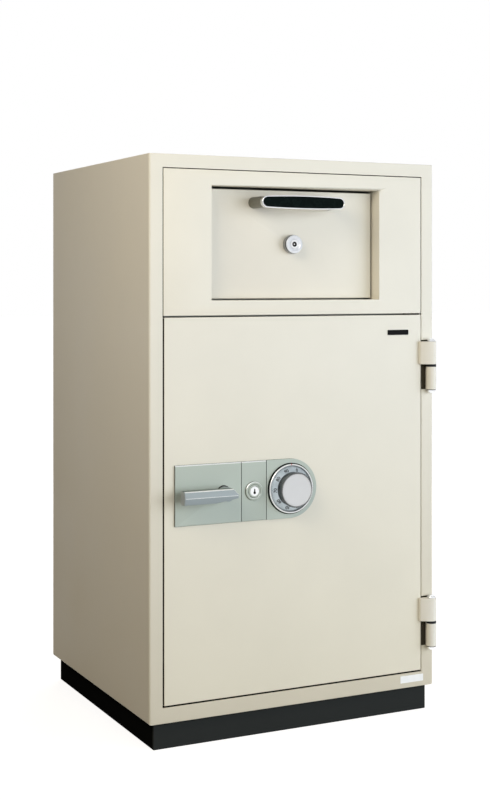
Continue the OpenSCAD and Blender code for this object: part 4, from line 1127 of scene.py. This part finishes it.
class SAFE_OT_dial(bpy.types.Operator):
    """Builds the dial's ring, its index, the numbered skirt and the fluted knob"""
    bl_idname = "safe.dial"
    bl_label = "Combination dial"

    def execute(self, context):
        sizes = context.scene.safe_sizes
        self.ring()
        self.skirt(sizes)
        self.knob(sizes)
        return {"FINISHED"}

    def ring(self):
        """The bright fixed ring, on a dark foot of painted shade, with its red index at the top."""
        low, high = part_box("dial_ring")
        centre = front_axis("dial_ring")
        outer = reach("dial_ring", 0)
        inner = reach("dial", 0) + 0.5 * MM
        front, back = low.y, high.y
        foot = back - 1.6 * MM
        blend = 0.4 * MM
        rim = outer - 1.8 * MM
        waist = front + 1.6 * MM
        bright = [(inner, waist), (rim, waist), (rim - 0.2 * MM, front + 0.9 * MM),
                  (rim - 0.9 * MM, front), (inner + 1.1 * MM, front),
                  (inner + 0.4 * MM, front + 0.4 * MM), (inner, front + 1.2 * MM)]
        make_piece("dial_bezel", turned(bright, "Y", centre), "dial_ring", satin_plug,
                   replaces=("dial_ring",))
        dark = [(inner, back), (outer, back), (outer, foot + blend), (outer - blend, foot), (rim, foot),
                (rim, waist), (inner, waist)]
        make_piece("dial_foot_shade_ring", turned(dark, "Y", centre), "dial_ring", ring_foot_shade)
        mid = centre.z + (outer + inner) / 2
        half_w, half_h = 0.75 * MM, 1.3 * MM
        proud, sunk = 0.12 * MM, 0.5 * MM
        mark = block((centre.x - half_w, front - proud, mid - half_h),
                     (centre.x + half_w, front + sunk, mid + half_h))
        make_piece("dial_index", mark, "dial_ring", index_enamel)

    def skirt(self, sizes):
        """The sloped skirt with its graduations and numbers."""
        low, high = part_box("dial")
        centre = front_axis("dial")
        outer = reach("dial", 0)
        inner = reach("dial_knob", 0) + 1.5 * MM
        front, back = low.y, high.y
        brim = back - 3 * MM
        blend = 0.3 * MM
        profile = [(0, back), (outer, back), (outer, brim + blend), (outer - blend, brim), (inner, front),
                   (0, front)]
        make_piece("dial_skirt", turned(profile, "Y", centre, closed=False), "dial", skirt_satin,
                   replaces=("dial",))

        def on_slope(radius, degrees, lift):
            """The frame of a place on the slope: right, outward along the slope, and off the surface."""
            a = math.radians(degrees)
            out = Vector((math.sin(a), 0, math.cos(a)))
            right = Vector((math.cos(a), 0, -math.sin(a)))
            fall = Vector((0, brim - front, 0)) + out * (outer - inner)
            up = fall.normalized()
            off = right.cross(up)
            share = (outer - radius) / (outer - inner)
            place = centre + out * radius + Vector((0, brim + (front - brim) * share, 0)) + off * lift
            return Matrix.Translation(place) @ Matrix((right, up, off)).transposed().to_4x4()

        zero_at = 16.0
        rim = outer - 0.7 * MM
        number_radius = outer - 7.0 * MM
        lift, thick = 0.02 * MM, 0.12 * MM
        marks = bmesh.new()
        for k in range(sizes.marks):
            length = (2.6 if k % 5 == 0 else 1.7) * MM
            width = (0.9 if k % 10 == 0 else 0.3) * MM
            at = on_slope(rim - length / 2, zero_at + 360 * k / sizes.marks, lift)
            bmesh.ops.create_cube(marks, size=1, matrix=at @ Matrix.Diagonal((width, length, thick, 1)))
        make_piece("dial_graduations", marks, "dial", mark_enamel)
        numbers = [self.number(str(10 * k), sizes.numeral_h, on_slope(number_radius, zero_at + 36 * k, 0))
                   for k in range(10)]
        make_piece("dial_numbers", join(*numbers), "dial", mark_enamel)

    def number(self, text, height, at):
        """A plain number as a thin mesh, centred on a place."""
        digit_share = 0.7  # The height of a digit in the font's own size
        bolder = 0.035  # How far each stroke grows, as a share of the height
        half_thick = 0.08 * MM
        curve = bpy.data.curves.new("number", "FONT")
        curve.body = text
        curve.size = height / digit_share
        curve.align_x = "CENTER"
        curve.align_y = "CENTER"
        curve.extrude = half_thick
        curve.offset = bolder * height
        curve.resolution_u = 3
        written = bpy.data.objects.new("number", curve)
        bpy.context.scene.collection.objects.link(written)
        bpy.context.view_layer.update()
        mesh = bpy.data.meshes.new_from_object(written.evaluated_get(bpy.context.evaluated_depsgraph_get()))
        bpy.data.objects.remove(written)
        bpy.data.curves.remove(curve)
        mesh.transform(at)
        bm = bmesh.new()
        bm.from_mesh(mesh)
        bmesh.ops.remove_doubles(bm, verts=bm.verts, dist=TINY / 10)
        bpy.data.meshes.remove(mesh)
        return bm

    def knob(self, sizes):
        """The knob: a fluted drum with a satin face, and a side darkened by painted reflection and shade."""
        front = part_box("dial_knob")[0].y
        centre = middle("dial_knob")
        radius = reach("dial_knob", 0)
        flute_w, flute_depth = 0.22 * MM, 1.1 * MM
        rim_edge, rim_w = 1.1 * MM, 1.2 * MM
        groove_w, groove_depth = 0.5 * MM, 0.3 * MM
        satin, ridges, flutes = range(3)
        bm = bmesh.new()
        bmesh.ops.create_cone(bm, cap_ends=True, segments=2 * sizes.flutes, radius1=radius, radius2=radius,
                              depth=2 * reach("dial_knob", 1))
        shifted(tipped(bm, 90), centre)

        def angle(side):
            at = side.calc_center_median() - centre
            return math.atan2(at.z, at.x)

        valleys = sorted((f for f in bm.faces if abs(f.normal.y) < 0.5), key=angle)[::2]
        bmesh.ops.inset_individual(bm, faces=valleys, thickness=flute_w, depth=-flute_depth)
        for f in bm.faces:
            f.material_index = flutes if f in valleys else ridges
        soften(bm, rim_edge, along(1, front))
        face = [f for f in bm.faces if f.normal.y < -0.99 and len(f.verts) > 20]
        bmesh.ops.inset_region(bm, faces=face, thickness=rim_w, depth=0)
        bmesh.ops.inset_region(bm, faces=face, thickness=groove_w, depth=-groove_depth)
        for f in bm.faces:
            if abs(f.normal.y) > 0.3:
                f.material_index = satin
        piece = make_piece("fluted_knob", bm, "dial_knob", replaces=("dial_knob",))
        piece.data.materials.append(finish(ridge_dark_reflection))
        piece.data.materials.append(finish(flute_shade))


class SAFE_OT_hopper_plate(bpy.types.Operator):
    """Builds the hopper's front plate with its folded edges"""
    bl_idname = "safe.hopper_plate"
    bl_label = "Hopper plate"

    def execute(self, context):
        rounded_copy("hopper_front", "hopper_plate", context.scene.safe_sizes.sheet_edge,
                     along(1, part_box("hopper_plate")[0].y), maker=window_enamel)
        return {"FINISHED"}


class SAFE_OT_pull(bpy.types.Operator):
    """Builds the bridge pull: bright bowed rim, blasted legs and glossy insert"""
    bl_idname = "safe.pull"
    bl_label = "Hopper pull"

    def execute(self, context):
        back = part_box("pull_frame")[1].y
        half_w = reach("pull_frame", 0)
        mid_h = reach("pull_frame", 2)
        rim = context.scene.safe_sizes.pull_rim
        rim_edge = 0.9 * MM
        swell = 1.7 * MM
        bow = 4 * MM
        bow_radius = (half_w ** 2 + bow ** 2) / (2 * bow)
        wall = 2 * reach("pull_frame", 1)
        stand_off = 1.12 * wall  # As far out as in the photograph, a little more than in the CAD
        place = front_axis("pull_frame") + Vector((0, back - stand_off, 0))
        thick = 9 * MM
        pocket, pocket_slope = 5 * MM, 0.05 * MM

        def lens(inset):
            """The outline of the pull, a long lens with round ends."""
            end = mid_h - swell - inset
            half = half_w - inset - end
            big_radius = (half ** 2 + swell ** 2) / (2 * swell)
            turn = math.degrees(math.asin(half / big_radius))
            sink = big_radius - end - swell
            top = arc((0, -sink), big_radius, 90 - turn, 90 + turn, 20)
            left = arc((-half, 0), end, 90, 270, 16)
            bottom = arc((0, sink), big_radius, 270 - turn, 270 + turn, 20)
            right = arc((half, 0), end, -90, 90, 16)
            return top + left[1:] + bottom[1:] + right[1:-1]

        def front_of(bm):
            """The front face of a bar that isn't bowed yet."""
            return [f for f in bm.faces if f.normal.y < -0.9]

        def bowed(bm):
            """Curves the pull back towards its ends and moves it to its place."""
            for v in bm.verts:
                v.co.y += v.co.x ** 2 / (2 * bow_radius)
            return shifted(bm, place)

        bar = carried(lens(0), 0, thick)
        face = front_of(bar)
        bmesh.ops.inset_region(bar, faces=face, thickness=rim, depth=0)
        bmesh.ops.inset_region(bar, faces=face, thickness=pocket_slope, depth=-pocket)
        soften(bar, rim_edge, along(1, 0))
        make_piece("pull_bar", bowed(bar), "pull_frame", replaces=("pull_frame",))

        crown, crown_w = 0.5 * MM, 1.0 * MM
        clear_side, clear_back = 0.06 * MM, 0.1 * MM
        insert = carried(lens(rim + clear_side), crown, pocket - clear_back)
        bmesh.ops.inset_region(insert, faces=front_of(insert), thickness=crown_w, depth=crown)
        make_piece("pull_pad", bowed(insert), "pull_insert", replaces=("pull_insert",))

        end = mid_h - swell - 0.5 * MM
        flat = half_w - 11 * MM
        leg_top = thick + bow - 1 * MM
        splay = 3 * MM
        legs = []
        for side in (-1, 1):
            outline = [(flat, end)] + arc((half_w - end, 0), end, 90, -90, 20) + [(flat, -end)]
            leg = carried([(side * x, z) for x, z in outline], leg_top, stand_off)
            for v in leg.verts:
                if v.co.y > wall:
                    v.co.x += side * splay
            legs.append(shifted(leg, place))
        make_piece("pull_legs", join(*legs), "pull_frame", blasted_zinc)
        return {"FINISHED"}


class SAFE_OT_hopper_lock(bpy.types.Operator):
    """Builds the hopper lock: the bright collar, its side darkened by painted shade, and the cylinder"""
    bl_idname = "safe.hopper_lock"
    bl_label = "Hopper lock"

    def execute(self, context):
        proud = 8.5 * MM  # As far out as in the photograph
        self.collar(proud)
        self.cylinder(proud)
        return {"FINISHED"}

    def collar(self, proud):
        """The bright collar, proud of its CAD node, and the side under its lip, darkened by painted shade."""
        low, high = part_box("hopper_lock_collar")
        centre = front_axis("hopper_lock_collar")
        outer = reach("hopper_lock_collar", 0)
        hole = 8.6 * MM
        neck = 11 * MM
        front, back = low.y - proud, high.y
        step = front + 0.9 * MM
        lip = outer - 0.3 * MM
        under_lip = front + 2.2 * MM
        collar = [(hole, back), (hole, front + 1.4 * MM), (hole + 0.5 * MM, step), (hole + 2.6 * MM, step),
                  (hole + 3.1 * MM, front + 0.4 * MM), (hole + 3.7 * MM, front), (outer - 2.2 * MM, front),
                  (outer - 0.9 * MM, front + 0.5 * MM), (lip, front + 1.6 * MM), (lip, under_lip),
                  (neck, under_lip), (neck, back)]
        make_piece("hopper_collar", turned(collar, "Y", centre), "hopper_lock_collar", collar_satin,
                   replaces=("hopper_lock_collar",))
        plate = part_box("hopper_plate")[0].y
        half_shade_from = front + 6 * MM
        side = [(neck, plate), (outer, plate), (outer, half_shade_from), (outer, front + 2.8 * MM),
                (outer - 0.6 * MM, under_lip), (neck, under_lip)]
        collar_side = make_piece("hopper_collar_side", turned(side, "Y", centre), "hopper_lock_collar",
                                 collar_side_shade)
        recoat(collar_side, collar_side_half_shade, lambda polygon: polygon.center.y > half_shade_from)

    def cylinder(self, proud):
        """The cylinder with its round keyway, a black disc of painted shade at the floor of the keyway, and
        the post in it.
        """
        centre = front_axis("hopper_lock_collar")
        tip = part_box("hopper_cylinder")[0].y - proud
        joint = tip + proud + 9 * MM
        radius, keyway = 8.4 * MM, 4.8 * MM
        key_ring = arc((0, 0), keyway, 0, 345, 23)
        plug = shifted(pierced(radius, key_ring, (0, 0), tip, joint), centre)
        whole = join(plug, tail_of("hopper_cylinder", joint))
        plug_face = make_piece("hopper_plug", whole, "hopper_cylinder", satin_plug,
                               replaces=("hopper_cylinder",))
        within_rim = 6 * MM
        # The walls of the keyway are painted black as shade.
        recoat(plug_face, painted_gap_shade, bore_of(centre, within_rim))
        bore = keyway + 0.1 * MM
        near, far = tip + 2 * MM, tip + 2.5 * MM
        well = [(0, near), (bore, near), (bore, far), (0, far)]
        make_piece("keyway_floor_shade", turned(well, "Y", centre, closed=False, steps=TINY_STEPS),
                   "hopper_cylinder", painted_gap_shade)
        post_r, blend = 1.5 * MM, 0.3 * MM
        top, foot = tip + 0.2 * MM, tip + 2.1 * MM
        post = [(0, top), (post_r - blend, top), (post_r, top + blend), (post_r, foot), (0, foot)]
        make_piece("hopper_post", turned(post, "Y", centre, closed=False, steps=TINY_STEPS),
                   "hopper_cylinder", bright_chrome)


class SAFE_OT_bare_plates(bpy.types.Operator):
    """Builds the bare badge on the door and the bare label under it"""
    bl_idname = "safe.bare_plates"
    bl_label = "Bare badge and label"

    def execute(self, context):
        sizes = context.scene.safe_sizes
        low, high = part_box("door_skin")
        badge = Vector((high.x - 51 * MM, low.y, high.z - 33.6 * MM))
        badge_thick, badge_corner = 1.4 * MM, 1.6 * MM
        self.plate("bare_badge", badge, (sizes.badge_w, sizes.badge_h), badge_thick, badge_corner,
                   "door_skin", badge_plastic)
        label = Vector((high.x - 19.1 * MM, low.y, low.z - 14.4 * MM))
        label_thick, label_corner = 0.25 * MM, 0.6 * MM
        self.plate("bare_label", label, (sizes.label_w, sizes.label_h), label_thick, label_corner,
                   "outer_shell", label_film)
        return {"FINISHED"}

    def plate(self, name, at, size, thick, corner, like, maker):
        """A thin plate in front of the middle of its back, with round corners and a softened rim."""
        width, height = size
        bm = block((at.x - width / 2, at.y - thick, at.z - height / 2),
                   (at.x + width / 2, at.y, at.z + height / 2))
        corners = [e for e in bm.edges if abs(e.verts[0].co.y - e.verts[1].co.y) > thick / 2]
        round_off(bm, corners, corner, 5)
        soften(bm, thick / 3, along(1, at.y - thick), 2)
        make_piece(name, bm, like, maker)


class SAFE_OT_studio(bpy.types.Operator):
    """Sets the pale floor, the lamps, the white background and the camera"""
    bl_idname = "safe.studio"
    bl_label = "Studio"

    def execute(self, context):
        studio = context.scene.safe_studio
        context.scene.view_settings.view_transform = "Standard"
        self.floor(context)
        self.world(context, studio.ambient)
        door = Vector((0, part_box("outer_shell")[0].y, 0.35))
        left_side = Vector((-0.37, -0.1, 0.6))
        back = Vector((0, 0.3, 0.5))
        large, middling, small = 2.4, 2.0, 1.0
        self.lamp("front_lamp", (0.6, -3.2, 0.7), door, large, studio.front_power, studio.front_tint)
        self.lamp("side_lamp", (-1.3, -0.9, 1.6), left_side, small, studio.side_power, studio.side_tint,
                  mirrored=True)
        self.lamp("right_lamp", (2.4, -2.4, 0.7), door, large, studio.right_power, studio.right_tint)
        self.lamp("back_lamp", (1.6, 2.6, 1.8), back, middling, studio.back_power)
        self.camera(context, studio)
        return {"FINISHED"}

    def floor(self, context):
        """A plain pale floor, which looks white where the object doesn't shade it. Its glow for the
        camera and the mirrors grows to full white from 0.8 to 2.6 metres out."""
        made = bpy.data.materials.new("pale_floor")
        made.use_nodes = True
        tree = made.node_tree
        tree.nodes.clear()
        matt = add(tree, "ShaderNodeBsdfDiffuse", {"Color": (0.36, 0.34, 0.31, 1)})
        where = add(tree, "ShaderNodeTexCoord")
        far = add(tree, "ShaderNodeVectorMath", {}, {0: (where, "Object")}, operation="LENGTH")
        growth = add(tree, "ShaderNodeMapRange",
                     {"From Min": 0.8, "From Max": 2.6, "To Min": 0.87, "To Max": 1.0},
                     {"Value": (far, "Value")})
        lift = add(tree, "ShaderNodeEmission", {"Color": (1, 1, 1, 1)}, {"Strength": (growth, "Result")})
        none = add(tree, "ShaderNodeEmission", {"Strength": 0.0})
        gate = add(tree, "ShaderNodeMixShader", links={
            "Fac": self.seen_directly(tree), 1: (none, "Emission"), 2: (lift, "Emission")})
        both = add(tree, "ShaderNodeAddShader", links={0: (matt, "BSDF"), 1: (gate, "Shader")})
        add(tree, "ShaderNodeOutputMaterial", links={"Surface": (both, "Shader")})
        half = 30
        bm = bmesh.new()
        bmesh.ops.create_grid(bm, x_segments=1, y_segments=1, size=half)
        mesh = bpy.data.meshes.new("floor")
        bm.to_mesh(mesh)
        bm.free()
        mesh.materials.append(made)
        floor = bpy.data.objects.new("floor", mesh)
        context.scene.collection.objects.link(floor)

    def seen_directly(self, tree):
        """The output that is 1 for the camera's rays and for those that a mirror or glass sends on."""
        ray = add(tree, "ShaderNodeLightPath")
        mirrored = add(tree, "ShaderNodeMath", {}, {0: (ray, "Is Camera Ray"), 1: (ray, "Is Glossy Ray")},
                       operation="ADD")
        either = add(tree, "ShaderNodeMath", {}, {0: (mirrored, "Value"), 1: (ray, "Is Transmission Ray")},
                     operation="ADD", use_clamp=True)
        return either, "Value"

    def world(self, context, ambient):
        """Even light all round; the camera and mirrors see it as white."""
        world = bpy.data.worlds.new("studio_air")
        context.scene.world = world
        world.use_nodes = True
        tree = world.node_tree
        tree.nodes.clear()
        light = add(tree, "ShaderNodeBackground", {"Color": (1, 1, 1, 1), "Strength": ambient})
        white = add(tree, "ShaderNodeBackground", {"Color": (1, 1, 1, 1), "Strength": 1.0})
        mix = add(tree, "ShaderNodeMixShader", links={
            "Fac": self.seen_directly(tree), 1: (light, "Background"), 2: (white, "Background")})
        add(tree, "ShaderNodeOutputWorld", links={"Surface": (mix, "Shader")})

    def lamp(self, name, at, target, size, power, tint=(1, 1, 1), mirrored=False):
        """A square soft lamp that faces a point. Only a mirrored one shows in metal, which otherwise
        shows the white room."""
        light = bpy.data.lights.new(name, "AREA")
        light.size = size
        light.energy = power
        light.color = tint
        lamp = bpy.data.objects.new(name, light)
        lamp.location = at
        lamp.rotation_euler = (target - Vector(at)).to_track_quat("-Z", "Y").to_euler()
        lamp.visible_camera = False
        lamp.visible_glossy = mirrored
        bpy.context.scene.collection.objects.link(lamp)

    def camera(self, context, studio):
        """The photograph's camera: level, with its frame shifted down to the object."""
        photo_h = 800
        film = 36.0
        view = bpy.data.cameras.new("photo_camera")
        view.sensor_fit = "VERTICAL"
        view.sensor_height = film
        view.lens = studio.focal_px / photo_h * film
        view.shift_y = (studio.horizon_px - photo_h / 2) / photo_h
        camera = bpy.data.objects.new("photo_camera", view)
        camera.location = studio.camera_place
        camera.rotation_euler = (math.pi / 2, 0, -studio.camera_yaw)
        context.scene.collection.objects.link(camera)
        context.scene.camera = camera


PIECES = (
    SAFE_OT_finishes,
    SAFE_OT_body_sheets,
    SAFE_OT_top_panel,
    SAFE_OT_door_front,
    SAFE_OT_hinges,
    SAFE_OT_lock_plates,
    SAFE_OT_lever,
    SAFE_OT_key_lock,
    SAFE_OT_dial,
    SAFE_OT_hopper_plate,
    SAFE_OT_pull,
    SAFE_OT_hopper_lock,
    SAFE_OT_bare_plates,
    SAFE_OT_studio,
)


class SAFE_PT_panel(bpy.types.Panel):
    """Lists the pieces, colours and sizes in the sidebar"""
    bl_idname = "SAFE_PT_panel"
    bl_label = "Drop safe"
    bl_space_type = "VIEW_3D"
    bl_region_type = "UI"
    bl_category = "Drop safe"

    def draw(self, context):
        for group in (context.scene.safe_colours, context.scene.safe_sizes, context.scene.safe_studio):
            box = self.layout.box()
            for name in group.__annotations__:
                box.prop(group, name)
        for piece in PIECES:
            self.layout.operator(piece.bl_idname)


GROUPS = {"safe_colours": SafeColours, "safe_sizes": SafeSizes, "safe_studio": SafeStudio}


def register():
    for group in GROUPS.values():
        bpy.utils.register_class(group)
    for name, group in GROUPS.items():
        setattr(bpy.types.Scene, name, PointerProperty(type=group))
    for piece in PIECES:
        bpy.utils.register_class(piece)
    bpy.utils.register_class(SAFE_PT_panel)


def unregister():
    bpy.utils.unregister_class(SAFE_PT_panel)
    for piece in reversed(PIECES):
        bpy.utils.unregister_class(piece)
    for name, group in GROUPS.items():
        delattr(bpy.types.Scene, name)
        bpy.utils.unregister_class(group)


def main():
    """Builds every piece in order."""
    register()
    for piece in PIECES:
        family, action = piece.bl_idname.split(".")
        getattr(getattr(bpy.ops, family), action)()


if __name__ == "__main__":
    main()
